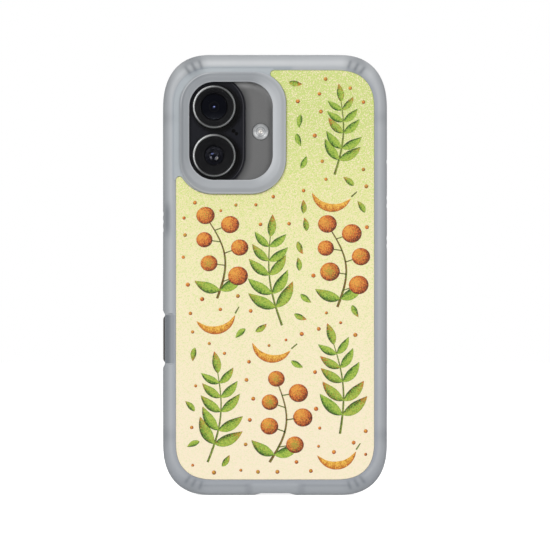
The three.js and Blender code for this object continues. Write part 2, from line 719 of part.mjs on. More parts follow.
function buildShell() {
  add(phone, 'phone_frame', phoneFrame(), FINISHES.aluminium);
  add(phone, 'rear_glass', rearGlass(), FINISHES.greyGlass);
  add(phone, 'camera_island', cameraIsland(), FINISHES.blackGlass);
  ['upper', 'lower'].forEach((place, i) => {
    const z = LENS_HEIGHTS[i];
    const glassY = -ISLAND_HEIGHT - LENS_LEDGE_DEPTH;
    const glass = disc(LENS_GLASS_RADIUS, 0, 0, glassY - LENS_GLASS_DEPTH, glassY);
    add(phone, `${place}_lens_ring`, lensRing(), FINISHES.steelRing, [ISLAND_X, -ISLAND_HEIGHT, z]);
    add(phone, `${place}_lens_glass`, glass, FINISHES.lensGlass, [ISLAND_X, 0, z]);
    add(phone, `${place}_camera_module`, cameraModule(), FINISHES.blackPlastic, [ISLAND_X, 0, z]);
  });
  const flash = disc(FLASH_RADIUS, 0, 0, -0.1, 1.2, 24);
  add(phone, 'flash_lens', flash, FINISHES.flashLens, [FLASH_X, 0, FLASH_Z]);
  const flashBoard = block([-3.4, 3.4], [1.2, 2], [-3.4, 3.4]);
  add(phone, 'flash_board', flashBoard, FINISHES.circuitBoard, [FLASH_X, 0, FLASH_Z]);
  add(phone, 'front_glass', frontGlass(), FINISHES.screenGlass);
  add(phone, 'display_panel', displayPanel(), FINISHES.blackPlastic);
  add(phone, 'display_gasket', displayGasket(), FINISHES.gasket);
}

// ---------------------------------------------------------------- keys and screws

function key({ side, half }) {
  const outer = side * (PHONE_WIDTH / 2 + KEY_PROUD);
  const x = [outer, outer - side * (KEY_PROUD + KEY_INWARD)].sort((a, b) => a - b);
  const halfLength = half - KEY_LENGTH_INSET;
  return block(x, [-KEY_HALF_THICKNESS, KEY_HALF_THICKNESS], [-halfLength, halfLength]);
}

function endScrew() {
  const { head, shank, length } = END_SCREW;
  const profile = [[0, 0], [head, 0], [head, 0.5], [shank, 0.9], [shank, length], [0, length]];
  const points = profile.map(([r, y]) => new THREE.Vector2(r, y));
  return new THREE.LatheGeometry(points, 12).rotateX(Math.PI / 2);
}

// The head is towards the back, and the shank runs through the board to the midplate.
function boardScrew() {
  const profile = [[0, -0.6], [1.1, -0.6], [1.1, 0], [0.6, 0], [0.6, 1.3], [0, 1.3]];
  const points = profile.map(([r, y]) => new THREE.Vector2(r, y));
  return new THREE.LatheGeometry(points, 12);
}

function buildKeysAndScrews() {
  for (const control of [...CONTROLS, CAMERA_CONTROL]) {
    const place = [0, KEY_DEPTH_CENTRE, control.z - PHONE_LOW_Z];
    add(phone, `${control.name}_key`, key(control), FINISHES.aluminium, place);
  }
  add(phone, 'bottom_screw_left', endScrew(), FINISHES.steelRing, [-END_SCREW_X, KEY_DEPTH_CENTRE, 0]);
  add(phone, 'bottom_screw_right', endScrew(), FINISHES.steelRing, [END_SCREW_X, KEY_DEPTH_CENTRE, 0]);
  BOARD_SCREWS.forEach(([x, z], i) => {
    add(phone, `board_screw_${i + 1}`, boardScrew(), FINISHES.shieldMetal, [x, BOARD.back, z]);
  });
}

// ---------------------------------------------------------------- inside the phone

const BOARD = { left: -31.6, right: -11.4, low: 34, high: 103, back: 2.9, front: 3.7 };
const BOARD_SCREWS = [
  [BOARD.left + 2, BOARD.low + 2],
  [BOARD.right - 2, BOARD.low + 2],
  [BOARD.left + 2, BOARD.high - 2],
  [BOARD.right - 2, BOARD.high - 2],
];
const SHIELD_INSET = 4;
const USB_LENGTH = 8;
const COIL = { inner: 11, outer: 22, back: REAR_GLASS_FRONT, front: 0.95 };
const MAGNETS = { inner: 23.4, outer: 27, back: REAR_GLASS_FRONT, front: 1.1 };

function flatRing({ inner, outer, back, front }, segments) {
  const profile = [[outer, back], [outer, front], [inner, front], [inner, back], [outer, back]];
  const points = profile.map(([r, y]) => new THREE.Vector2(r, y));
  return new THREE.LatheGeometry(points, segments);
}

function logicBoard() {
  const board = block([BOARD.left, BOARD.right], [BOARD.back, BOARD.front], [BOARD.low, BOARD.high]);
  return cut(board, ...BOARD_SCREWS.map(([x, z]) => disc(0.9, x, z, 0, REACH, 12)));
}

// A socket whose mouth faces down, with the contact tongue standing in it.
function usbConnector() {
  const low = FRAME_WALL + FIT_GAP;
  const middle = KEY_DEPTH_CENTRE;
  const shell = block([-4.8, 4.8], [middle - 1.7, middle + 1.7], [low, low + USB_LENGTH]);
  const mouth = post(pillOutline(4.17, 1.28, 0, middle), low - 1, low + 6.5);
  const tongue = block([-3.35, 3.35], [middle - 0.35, middle + 0.35], [low + 0.5, low + 7]);
  return join(cut(shell, mouth), tongue);
}

// The flat cable turns one corner between the connector and the foot of the board.
function portFlex() {
  const low = FRAME_WALL + FIT_GAP + USB_LENGTH + FIT_GAP;
  const high = BOARD.low - FIT_GAP;
  const bend = low + 3.2;
  const outline = [
    [-13.8, low], [4, low], [4, bend], [-10.2, bend], [-10.2, high], [-13.8, high],
  ].map(([x, z]) => new THREE.Vector2(x, z));
  return plate(outline, 3.2, 3.6);
}

function frontCamera() {
  const z = SENSOR_WINDOW.z;
  const body = block([-8.8, 8.8], [2.4, 5], [z - 2.6, z + 2.6]);
  const camera = disc(2.1, 5.6, z, 4.5, FRONT_GLASS_BACK - FIT_GAP, 16);
  const projector = disc(1.6, -5.6, z, 4.5, FRONT_GLASS_BACK - FIT_GAP, 16);
  return join(body, camera, projector);
}

function buildInside() {
  const depth = [INNER_BACK, INNER_FRONT];
  const inner = PHONE_WIDTH / 2 - FRAME_WALL;
  add(phone, 'battery', block([-9.6, 31.4], depth, [30, 110]), FINISHES.battery);
  add(phone, 'logic_board', logicBoard(), FINISHES.circuitBoard);
  const shieldX = [BOARD.left + SHIELD_INSET, BOARD.right - SHIELD_INSET];
  const shieldZ = [BOARD.low + SHIELD_INSET, BOARD.high - SHIELD_INSET];
  add(phone, 'board_shield', block(shieldX, [INNER_BACK, BOARD.back], shieldZ), FINISHES.shieldMetal);
  const middle = [0, 0, PHONE_HEIGHT / 2];
  add(phone, 'charging_coil', flatRing(COIL, 32), FINISHES.copper, middle);
  add(phone, 'magnet_ring', flatRing(MAGNETS, 32), FINISHES.shieldMetal, middle);
  add(phone, 'vibration_motor', block([-28, -14], depth, [6.5, 13]), FINISHES.shieldMetal);
  add(phone, 'bottom_speaker', block([10.4, 25.4], depth, [3.4, 20]), FINISHES.blackPlastic);
  add(phone, 'lower_microphone', block([-12.2, -8.4], [3, INNER_FRONT], [FRAME_WALL + FIT_GAP, 5]), FINISHES.shieldMetal);
  add(phone, 'usb_connector', usbConnector(), FINISHES.blackPlastic);
  add(phone, 'port_flex_cable', portFlex(), FINISHES.flex);
  add(phone, 'front_camera_module', frontCamera(), FINISHES.blackPlastic);
  add(phone, 'earpiece_speaker', block([-7, 7], [2.4, 5], [141.6, 143.7]), FINISHES.blackPlastic);
  const flexY = [KEY_DEPTH_CENTRE - 1.4, INNER_FRONT];
  const leftFlex = block([-inner + FIT_GAP, -inner + 2 * FIT_GAP], flexY, [44, 100]);
  add(phone, 'left_button_flex', leftFlex, FINISHES.flex);
  const rightFlex = block([inner - 2 * FIT_GAP, inner - FIT_GAP], flexY, [78, 118]);
  add(phone, 'right_button_flex', rightFlex, FINISHES.flex);
}

buildCase();
buildShell();
buildKeysAndScrews();
buildInside();

export default assembly;
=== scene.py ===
"""Looks of a smartphone in its protective case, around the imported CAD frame.

X runs across the back as it is seen from behind, Y runs from the camera side towards the
screen, and Z runs up from the bottom end. Sizes are in millimetres, and a mesh is turned
into metres as it is made.
"""

import math
import random

import bmesh
import bpy
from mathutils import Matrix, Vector

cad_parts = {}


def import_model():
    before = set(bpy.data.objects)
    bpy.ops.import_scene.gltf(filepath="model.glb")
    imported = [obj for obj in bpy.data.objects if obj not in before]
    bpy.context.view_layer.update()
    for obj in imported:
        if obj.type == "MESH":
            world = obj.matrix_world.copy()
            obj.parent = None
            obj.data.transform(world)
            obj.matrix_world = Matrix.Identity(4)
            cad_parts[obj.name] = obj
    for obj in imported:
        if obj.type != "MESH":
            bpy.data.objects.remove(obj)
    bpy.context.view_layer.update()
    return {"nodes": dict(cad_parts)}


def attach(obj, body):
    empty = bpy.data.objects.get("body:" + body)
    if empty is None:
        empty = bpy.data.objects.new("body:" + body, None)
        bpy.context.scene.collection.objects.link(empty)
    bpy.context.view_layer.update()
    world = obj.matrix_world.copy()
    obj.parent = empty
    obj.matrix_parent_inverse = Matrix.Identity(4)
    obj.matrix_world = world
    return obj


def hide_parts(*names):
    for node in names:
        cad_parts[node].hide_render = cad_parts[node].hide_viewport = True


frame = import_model()

MM = 0.001
QUARTER = math.pi / 2


def rounded(centre_a, centre_b, half_a, half_b, radius=None):
    """A box with round corners, or a pill if no radius is given."""
    radius = min(half_a, half_b) if radius is None else radius
    return dict(
        left=centre_a - half_a, right=centre_a + half_a, low=centre_b - half_b, high=centre_b + half_b,
        radii=(radius,) * 4, mean=radius,
    )


# ---------------------------------------------------------------- driving dimensions

FIT_GAP = 0.3
CASE_HEIGHT, CASE_HALF_WIDTH = 154.66, 39.33
PHONE_BACK_Y, PHONE_FRONT_Y = -2.4, 5.4
PHONE_LOW_Z, PHONE_HEIGHT, PHONE_HALF_WIDTH, PHONE_CORNER = 3.53, 147.6, 35.8, 15.5
RIM_OVERLAP = 0.9

# The radii of an outline go anticlockwise from the top right. Its "mean" is the one radius
# that the materials use for all corners.
CASE_OUTLINE = dict(
    left=-CASE_HALF_WIDTH, right=CASE_HALF_WIDTH, low=0.0, high=CASE_HEIGHT,
    corner_x=17.2, corner_low=18.4, corner_high=19.5, power=2.43, mean=15.3,
)
PANEL_EDGE = dict(
    left=-34.86, right=34.86, low=5.42, high=149.3,
    corner_x=14.1, corner_low=13.4, corner_high=13.8, power=2.55, mean=12.4,
)
PHONE_OUTLINE = dict(
    left=-PHONE_HALF_WIDTH, right=PHONE_HALF_WIDTH, low=PHONE_LOW_Z, high=PHONE_LOW_Z + PHONE_HEIGHT,
    corner_x=PHONE_CORNER, corner_low=PHONE_CORNER, corner_high=PHONE_CORNER, power=2.4, mean=PHONE_CORNER,
)
GUARD_OUTER = dict(
    left=-34.33, right=3.86, low=105.82, high=148.66, radii=(10.9, 11.5, 12.0, 12.3), mean=11.6,
)
GUARD_WALL = dict(GUARD_OUTER, left=-33.4)
GUARD_INNER = dict(left=-30.12, right=-0.78, low=110.69, high=145.16, radii=(8.8,) * 4, mean=8.8)
PANEL_FILLET = 1.3
PANEL_GAP = 0.06  # the hairline round the back panel
PANEL_BACK_Y = -4.0
FILM_BACK_Y = -4.2
FILM_EDGE = 0.08
WEB_BACK_Y = -4.75
WEB_OVERLAP = 0.62

# Sections of the rail and of the camera guard: how far in, and the depth there.
RAIL_BACK = [(0, -2.8), (0.05, -3.55), (0.17, -4.25), (0.36, -4.75), (0.6, -5.0), (0.8, -4.85), (1, -4.4)]
RAIL_RIM = [(1, 6.4), (0.84, 7.0), (0.38, 7.0), (0.14, 6.4), (0, 5.2)]
GUARD_CREST = [
    (0, -5.95), (0.02, -6.12), (0.09, -6.32), (0.2, -6.58), (0.33, -6.88), (0.45, -7.0),
    (0.72, -6.9), (0.93, -6.82), (1, -6.72),
]

# Camera island, lenses and flash.
ISLAND_X, ISLAND_Z = -21.36, 127.84
ISLAND = rounded(ISLAND_X, ISLAND_Z, 11.0, 19.55)
ISLAND_BACK_Y = PHONE_BACK_Y - 1.6
ISLAND_SHOULDER_Y = ISLAND_BACK_Y + 0.4
MIC_HOLES = ((-14.6, 127.9, 0.55), (-13.55, 126.95, 0.45))  # place across and up, and radius
LENSES = {"upper": 136.39, "lower": 119.29}
LENS_PUPILS = {"upper": 4.6, "lower": 3.4}
INNER_LENSES = {"upper": (90.0, -0.5), "lower": (-8.5, 0.1)}  # curve radius and crown depth
IRIS_BORES = {"upper": 1.55, "lower": 1.75}
# Small lenses in the pupils: place across and up, radius, curve radius and coating.
PUPIL_DOMES = {
    "upper_pupil": ("upper", 0.0, 0.0, 0.5, 1.3, "blue"),
    "lower_pupil": ("lower", -0.65, 0.65, 0.45, 1.2, "blue"),
    "lower_back_lens": ("lower", 1.05, -0.95, 0.45, 1.1, "warm"),
}
LENS_RING_RADIUS, LENS_RING_BORE, LENS_LEDGE_BORE, LENS_HOLE_RADIUS = 7.65, 6.75, 6.0, 6.6
LENS_RING_BACK_Y = ISLAND_BACK_Y - 1.8
LENS_RING_LIP = 0.4
LENS_LEDGE_Y = ISLAND_BACK_Y - 0.9
LENS_GLASS_RADIUS, LENS_GLASS_DEPTH = 6.45, 0.6
BARREL_RADIUS, BARREL_MOUTH, BARREL_STEPS, BARREL_STEP_DEPTH = 5.5, 5.0, 5, 0.22
BARREL_FRONT_Y, MODULE_FRONT_Y, MODULE_HALF = 0.6, 1.9, 6.5
FLASH_X, FLASH_Z, FLASH_RADIUS = -5.04, 127.7, 2.8
FLASH_LEDS = ((-0.45, 0.1), (0.3, -0.25))

# Side controls. A button has its node and body, its side as seen from behind (left is -1), its
# height, its half length and the heights of its dents.
CONTROL_Y = 1.35
COVER_HALF_DEPTH = 2.3
COVER_INNER_X = PHONE_HALF_WIDTH + 0.55
BUTTONS = {
    "side_pad": ("side_button_cover", "side_button", -1, 96.0, 7.0, (-2.8, 0, 2.8)),
    "action_pad": ("action_button_cover", "action_button", 1, 117.1, 3.6, (0,)),
    "up_pad": ("volume_up_cover", "volume_up_button", 1, 103.0, 4.9, (-1.4, 1.4)),
    "down_pad": ("volume_down_cover", "volume_down_button", 1, 88.9, 4.9, (-1.4, 1.4)),
}
DENT_RADIUS, DENT_DEPTH = 3.4, 0.13
DENT_CENTRE = CASE_HALF_WIDTH - DENT_DEPTH + DENT_RADIUS
STRIP_Z, STRIP_HALF, STRIP_HALF_DEPTH = 54.8, 8.2, 1.7
STRIP_LEVELS = [  # inset in depth, inset in length, and depth under the outside
    (0, 0, 0.62), (0.06, 0.25, 0.45), (0.2, 0.62, 0.2), (0.38, 0.95, 0.06), (0.6, 1.25, 0),
]
SCOOP_HALF, SCOOP_SLANT, SCOOP_DEPTH, SCOOP_EASE = 8.6, 1.5, 0.71, 0.5
SCOOP_BACK_Y, SCOOP_INNER_X = -4.45, -35.5

# Openings in the bottom end.
PORT_HALF_WIDTH, PORT_HALF_DEPTH = 6.6, 3.3
RECESS_HALF, RECESS_SLANT, RECESS_DEPTH = 4.5, 3.4, 0.62
SOUND_MIDDLE, SOUND_HALF, SOUND_HALF_DEPTH = 15.9, 5.7, 0.95

# Cushion pockets: their angles in each corner, and how far from the corner's middle.
POCKET_ANGLES = (54, 63.5, 73)
POCKET_REACH = 16.5

# The photograph's frame: 193.46 mm wide at the object, aimed at the object's middle.
VIEW_WIDTH = 193.46
VIEW_CENTRE_Z = 77.33
CAMERA_LENS, CAMERA_SENSOR = 500.0, 36.0
DOME_LIGHT = 0.36
LIGHTS = [
    ("key_light", (-560, -2100, 620), 800, 22.0),
    ("fill_light", (700, -2050, 500), 700, 15.0),
    ("top_light", (0, 100, 1900), 1500, 4.0),
    ("rear_light", (300, 1500, 1200), 1000, 6.0),
]

CORNER_STEPS = 26
FINE_STEPS = 160


# ---------------------------------------------------------------- outlines

def softened(value, power):
    return math.copysign(abs(value) ** (2 / power), value)


def between(first, second, part):
    """The number or point that lies that part of the way from the first to the second."""
    if isinstance(first, tuple):
        return tuple(between(a, b, part) for a, b in zip(first, second))
    return first + (second - first) * part


def heading(first, second):
    return math.atan2(second[1] - first[1], second[0] - first[0])


def even_along(points, count):
    """The points of a line, spread evenly by length over count steps."""
    lengths = [0.0]
    for first, second in zip(points, points[1:]):
        lengths.append(lengths[-1] + math.dist(first, second))
    result = []
    index = 0
    for step in range(count + 1):
        target = lengths[-1] * step / count
        while index < len(points) - 2 and lengths[index + 1] < target:
            index += 1
        part = (target - lengths[index]) / (lengths[index + 1] - lengths[index])
        result.append(between(points[index], points[index + 1], part))
    return result


def corner_centre(shape, quarter, reach_x, reach_z):
    """The middle of an outline's corner that reaches so far across and up."""
    x = shape["right"] - reach_x if quarter in (0, 3) else shape["left"] + reach_x
    z = shape["high"] - reach_z if quarter in (0, 1) else shape["low"] + reach_z
    return x, z


def soft_corner(shape, quarter):
    """One superellipse corner of an outline, anticlockwise."""
    reach_x = shape["corner_x"]
    reach_z = shape["corner_high" if quarter in (0, 1) else "corner_low"]
    x, z = corner_centre(shape, quarter, reach_x, reach_z)
    line = []
    for step in range(FINE_STEPS + 1):
        angle = (quarter + step / FINE_STEPS) * QUARTER
        line.append((
            x + reach_x * softened(math.cos(angle), shape["power"]),
            z + reach_z * softened(math.sin(angle), shape["power"]),
        ))
    return even_along(line, CORNER_STEPS)


def soft_outline(shape, straights=((), (), (), ())):
    """An outline with soft corners, anticlockwise from the right-hand side. Straights hold
    the fractions of extra points along the top, left, bottom and right."""
    corners = [soft_corner(shape, quarter) for quarter in range(4)]
    points = []
    for corner, after, fractions in zip(corners, corners[1:] + corners[:1], straights):
        points += corner
        points += [between(corner[-1], after[0], fraction) for fraction in fractions]
    return points


def arc(centre, radius, start, end, steps=24):
    angles = [start + (end - start) * step / steps for step in range(steps + 1)]
    return [(centre[0] + radius * math.cos(angle), centre[1] + radius * math.sin(angle)) for angle in angles]


def circle(centre, radius, steps=96):
    return arc(centre, radius, 0, 2 * math.pi, steps)[:-1]


def corner_arc(shape, quarter, start, end, steps=24):
    """A part of the circle of a round corner."""
    radius = shape["radii"][quarter]
    return arc(corner_centre(shape, quarter, radius, radius), radius, start, end, steps)


def round_outline(shape, steps=24):
    """An outline with circular corners, anticlockwise from the right-hand side."""
    points = []
    for quarter in range(4):
        points += corner_arc(shape, quarter, quarter * QUARTER, (quarter + 1) * QUARTER, steps)
    return points


def grown(shape, by):
    """The outline with its sides moved outwards and its corners made larger by as much."""
    signs = {"left": -1, "low": -1, "power": 0}
    return {
        key: tuple(radius + by for radius in value) if key == "radii" else value + by * signs.get(key, 1)
        for key, value in shape.items()
    }


def blended(first, second, fraction):
    return {key: between(value, second[key], fraction) for key, value in first.items()}


def smooth_run(points, before, after, steps=4):
    """A smooth line through the points, which starts and ends towards the given neighbours."""
    line = [before, *points, after]
    result = []
    for p0, p1, p2, p3 in zip(line, line[1:], line[2:], line[3:]):
        for step in range(steps):
            t = step / steps
            result.append(tuple(
                0.5 * (
                    2 * b + (c - a) * t + (2 * a - 5 * b + 4 * c - d) * t * t
                    + (3 * b - a - 3 * c + d) * t ** 3
                )
                for a, b, c, d in zip(p0, p1, p2, p3)
            ))
    result.append(points[-1])
    return result


def guard_tips(gap):
    """The panel's edge and the camera guard, drawn apart by the gap, and the panel's two
    rounded tips between them: their radius, and for each its middle and its angle."""
    edge, guard = grown(PANEL_EDGE, -gap), grown(GUARD_OUTER, gap)
    tip = PANEL_FILLET - gap
    radius = guard["radii"][0]
    corner = corner_centre(guard, 0, radius, radius)
    z = edge["high"] - tip
    upper = (corner[0] + math.sqrt((radius + tip) ** 2 - (z - corner[1]) ** 2), z)
    upper_angle = heading(corner, upper)
    radius = guard["radii"][2]
    corner = corner_centre(guard, 2, radius, radius)
    x = edge["left"] + tip
    lower = (x, corner[1] - math.sqrt((radius + tip) ** 2 - (x - corner[0]) ** 2))
    return edge, guard, tip, upper, upper_angle, lower, heading(corner, lower)


def panel_outline(gap):
    """The back panel: from side to side, apart from the camera guard and its web."""
    edge, guard, tip, upper, upper_angle, lower, lower_angle = guard_tips(gap)
    return [
        *soft_corner(edge, 2),
        *soft_corner(edge, 3),
        *soft_corner(edge, 0),
        *arc(upper, tip, QUARTER, upper_angle + math.pi),
        *corner_arc(guard, 0, upper_angle, 0)[1:],
        *corner_arc(guard, 3, 0, -QUARTER),
        *corner_arc(guard, 2, -QUARTER, lower_angle),
        *arc(lower, tip, lower_angle + math.pi, math.pi)[1:],
    ]


def web_outline():
    """The flat web between the guard and the rail, reaching a little into both."""
    tip, upper, upper_angle, lower, lower_angle = guard_tips(0)[2:]
    edge, guard = grown(PANEL_EDGE, WEB_OVERLAP), grown(GUARD_OUTER, -WEB_OVERLAP)
    return [
        *arc(upper, tip, upper_angle + math.pi, QUARTER),
        (upper[0], edge["high"]),
        *soft_corner(edge, 1),
        (edge["left"], lower[1]),
        *arc(lower, tip, math.pi, lower_angle + math.pi),
        *corner_arc(guard, 2, lower_angle, -math.pi)[1:],
        *corner_arc(guard, 1, math.pi, QUARTER),
        *corner_arc(guard, 0, QUARTER, upper_angle),
    ]


def quarter_round(steps):
    """How far in and how far up a rounded edge goes, for a radius of 1."""
    angles = [QUARTER * step / steps for step in range(steps + 1)]
    return [(1 - math.cos(angle), math.sin(angle)) for angle in angles]


# ---------------------------------------------------------------- meshes

def linked(name, data):
    """A new object in the scene."""
    thing = bpy.data.objects.new(name, data)
    bpy.context.scene.collection.objects.link(thing)
    return thing


def new_mesh(name, points, faces):
    mesh = bpy.data.meshes.new(name)
    mesh.from_pydata([(x * MM, y * MM, z * MM) for x, y, z in points], [], faces)
    return mesh


def made(name, points, faces, sharp_angle=38):
    """A mesh object from points in millimetres, shaded smooth between its sharp edges."""
    piece = linked(name, new_mesh(name, points, faces))
    tidy_mesh(piece, sharp_angle)
    return piece


def tidy_mesh(piece, sharp_angle):
    """Joins doubled points, turns the faces outwards and marks the sharp edges."""
    mesh = piece.data
    work = bmesh.new()
    work.from_mesh(mesh)
    bmesh.ops.remove_doubles(work, verts=work.verts, dist=2e-7)
    bmesh.ops.dissolve_degenerate(work, edges=work.edges, dist=1e-7)
    bmesh.ops.recalc_face_normals(work, faces=work.faces)
    work.to_mesh(mesh)
    work.free()
    mesh.shade_smooth()
    mesh.set_sharp_from_angle(angle=math.radians(sharp_angle))


def placed(outline, along, axis="y"):
    """The points of an outline at a place along the axis, in the plane of the two others."""
    order = {"x": (2, 0, 1), "y": (0, 2, 1), "z": (0, 1, 2)}[axis]
    return [tuple((a, b, along)[i] for i in order) for a, b in outline]


def skin(rows, closed=False):
    """Walls between rows of points. A closed skin is a ring, and an open one has a flat cap
    at each end. Returns points and faces."""
    count = len(rows[0])
    points = [point for row in rows for point in row]
    faces = []
    for level in range(len(rows) if closed else len(rows) - 1):
        here, there = level * count, (level + 1) % len(rows) * count
        for i in range(count):
            j = (i + 1) % count
            faces.append((here + i, here + j, there + j, there + i))
    if not closed:
        faces.append(tuple(range(count)))
        faces.append(tuple(range(len(points) - count, len(points))))
    return points, faces


def bar(outline, low, high, axis="y"):
    """A prism: an outline between two places along the axis."""
    return skin([placed(outline, low, axis), placed(outline, high, axis)])


def lathe(profile, x, z, segments=96):
    """A closed profile of (radius, depth) points turned round an axis along Y."""
    points, faces, rows = [], [], []
    for radius, y in profile:
        start = len(points)
        if radius < 1e-9:
            rows.append([start] * segments)
            points.append((x, y, z))
        else:
            rows.append(list(range(start, start + segments)))
            points += placed(circle((x, z), radius, segments), y)
    for row, below in zip(rows, rows[1:] + rows[:1]):
        for i in range(segments):
            j = (i + 1) % segments
            face = tuple(dict.fromkeys((row[i], row[j], below[j], below[i])))
            if len(face) > 2:
                faces.append(face)
    return points, faces


def merged(*parts):
    """Several (points, faces) pairs as one."""
    points, faces = [], []
    for more_points, more_faces in parts:
        start = len(points)
        points += more_points
        faces += [tuple(start + i for i in face) for face in more_faces]
    return points, faces


def carve(piece, tool, operation="DIFFERENCE"):
    """Cuts the tool from the piece, or joins it, and removes the tool."""
    modifier = piece.modifiers.new("carve", "BOOLEAN")
    modifier.operation = operation
    modifier.solver = "EXACT"
    modifier.object = tool
    bpy.context.view_layer.update()
    result = piece.evaluated_get(bpy.context.evaluated_depsgraph_get())
    mesh = bpy.data.meshes.new_from_object(result)
    piece.modifiers.clear()
    old = piece.data
    piece.data = mesh
    bpy.data.meshes.remove(old)
    bpy.data.meshes.remove(tool.data)


def cut(piece, outline, low, high, axis="y"):
    """Cuts a prism from the piece."""
    carve(piece, made("tool", *bar(outline, low, high, axis)))


# ---------------------------------------------------------------- node materials

def added(tree, kind, inputs, **settings):
    """A new shader node with its settings and its inputs, which have names or numbers."""
    node = tree.nodes.new("ShaderNode" + kind)
    for key, value in settings.items():
        setattr(node, key, value)
    for key, value in inputs.items():
        put(value, node.inputs[key])
    return node


def put(value, socket):
    """Links a field or an output to a socket, or sets a plain value on it."""
    if isinstance(value, Field):
        value = value.socket
    if isinstance(value, bpy.types.NodeSocket):
        socket.id_data.links.new(value, socket)
    elif socket.type == "RGBA":
        socket.default_value = (*value, 1.0)
    else:
        socket.default_value = value


class Field:
    """A number that changes over a material. Sums with it add nodes to the material."""

    def __init__(self, socket):
        self.socket = socket

    def math(self, operation, other=0.0):
        node = added(self.socket.id_data, "Math", {0: self, 1: other}, operation=operation)
        return Field(node.outputs[0])

    def __add__(self, other):
        return self.math("ADD", other)

    def __sub__(self, other):
        return self.math("SUBTRACT", other)

    def __mul__(self, other):
        return self.math("MULTIPLY", other)

    def __abs__(self):
        return self.math("ABSOLUTE")

    def max(self, other):
        return self.math("MAXIMUM", other)

    def min(self, other):
        return self.math("MINIMUM", other)

    def fade(self, start, end):
        """0 at start and 1 at end, smooth between."""
        limits = {"Value": self, "From Min": start, "From Max": end}
        node = added(self.socket.id_data, "MapRange", limits, interpolation_type="SMOOTHSTEP")
        return Field(node.outputs["Result"])

    def band(self, low, high, soft):
        """1 between low and high, with soft edges of that width."""
        return self.fade(low - soft, low + soft) * self.fade(high + soft, high - soft)


class Finish:
    """A principled material whose colour, roughness and bump come from its nodes."""

    def __init__(self, name, **values):
        self.material = bpy.data.materials.new(name)
        self.material.use_nodes = True
        self.tree = self.material.node_tree
        self.shader = self.tree.nodes["Principled BSDF"]
        for key, value in values.items():
            put(value, self.shader.inputs[key.replace("_", " ").title().replace("Ior", "IOR")])
        metres = added(self.tree, "TexCoord", {}).outputs["Object"]
        scaled = added(self.tree, "VectorMath", {0: metres, "Scale": 1 / MM}, operation="SCALE")
        self.place = scaled.outputs[0]
        self.x, self.y, self.z = map(Field, added(self.tree, "SeparateXYZ", {0: self.place}).outputs)

    def noise(self, size, detail=2.0, roughness=0.5, stretch=(1, 1, 1), shift=0.0):
        """Cloudy noise whose lumps are about that many millimetres."""
        mapped = {"Vector": self.place, "Scale": stretch, "Location": (shift, shift * 0.7, shift * 1.3)}
        place = added(self.tree, "Mapping", mapped).outputs[0]
        lumps = {"Vector": place, "Scale": 1 / size, "Detail": detail, "Roughness": roughness}
        return Field(added(self.tree, "TexNoise", lumps).outputs["Fac"])

    def outside(self, shape):
        """How far outside a round-cornered box in X and Z a point is, negative inside."""
        radius = shape["mean"]
        gaps = []
        for place, near, far in ((self.x, "left", "right"), (self.z, "low", "high")):
            middle, half = (shape[near] + shape[far]) / 2, (shape[far] - shape[near]) / 2
            gaps.append(abs(place - middle) - (half - radius))
        out_x, out_z = (gap.max(0.0) for gap in gaps)
        inside = gaps[0].max(gaps[1]).min(0.0)
        return (out_x * out_x + out_z * out_z).math("SQRT") + inside - radius

    def off(self, x, z, radius=0.0):
        """How far outside a circle a point is."""
        return self.outside(rounded(x, z, radius, radius))

    def mix(self, base, *layers, blend="MIX"):
        """A base colour under layers, each of a strength and a colour."""
        for amount, colour in layers:
            # The node's sockets go by number, as it has an A and a B for every kind of value.
            inputs = {0: amount, 6: base, 7: colour}
            base = added(self.tree, "Mix", inputs, data_type="RGBA", blend_type=blend).outputs[2]
        return base

    def ramp(self, value, stops):
        node = added(self.tree, "ValToRGB", {"Fac": value})
        elements = node.color_ramp.elements
        while len(elements) < len(stops):
            elements.new(0.5)
        for element, (position, colour) in zip(elements, stops):
            element.position = position
            element.color = (*colour, 1.0)
        return node.outputs["Color"]

    def finished(self, colour, roughness, bump=None):
        """The material with its colour, its roughness from low to high along a pattern, and a
        bump of a height, a depth and a strength."""
        put(colour, self.shader.inputs["Base Color"])
        low, high, pattern = roughness
        rough = added(self.tree, "MapRange", {"Value": pattern, "To Min": low, "To Max": high})
        put(rough.outputs["Result"], self.shader.inputs["Roughness"])
        if bump:
            height, depth, strength = bump
            relief = {"Height": height, "Distance": depth * MM, "Strength": strength}
            put(added(self.tree, "Bump", relief).outputs[0], self.shader.inputs["Normal"])
        return self.material


def srgb(red, green, blue):
    """A screen colour from 0 to 255 as linear light."""
    levels = [value / 255 for value in (red, green, blue)]
    return tuple(level / 12.92 if level <= 0.04045 else ((level + 0.055) / 1.055) ** 2.4 for level in levels)


def grey(level):
    return srgb(level, level, level)


def shell_finish():
    """Soft frosted grey shell: what lies under it shows through as soft dark marks, with painted shade and
    painted highlights over it.
    """
    f = Finish("soft_shell", specular_ior_level=0.35)
    cloud = f.noise(9.0, 3.0)
    # Painted light by height: a painted shade band near the bottom end and a painted highlight along the top
    # rail.
    base = f.ramp(f.z * (1 / CASE_HEIGHT), [
        (0.0, srgb(165, 169, 173)),
        (0.03, srgb(149, 153, 159)),
        (0.12, srgb(167, 170, 174)),
        (0.5, srgb(170, 173, 176)),
        (0.94, srgb(172, 175, 178)),
        (0.972, srgb(188, 191, 193)),
        (0.985, srgb(195, 197, 199)),
        (1.0, srgb(178, 181, 184)),
    ])
    base = f.mix(
        base,
        (cloud * 0.3, srgb(157, 161, 167)),
        (web_area(f) * 0.7, srgb(158, 166, 171)),
        # Dark things seen through the shell, with painted shade on the guard, the rail's outer edge and the
        # scoop.
        (shell_see_through_and_shade(f), srgb(82, 88, 95)),
        (shell_edges(f), srgb(128, 138, 160)),
        # Painted highlights on the guard's lips, inner rim and right-hand inner wall.
        (guard_painted_highlights(f) * 0.3, srgb(228, 230, 233)),
    )
    return f.finished(base, (0.42, 0.56, cloud), (f.noise(0.35, shift=4.0), 0.012, 0.6))


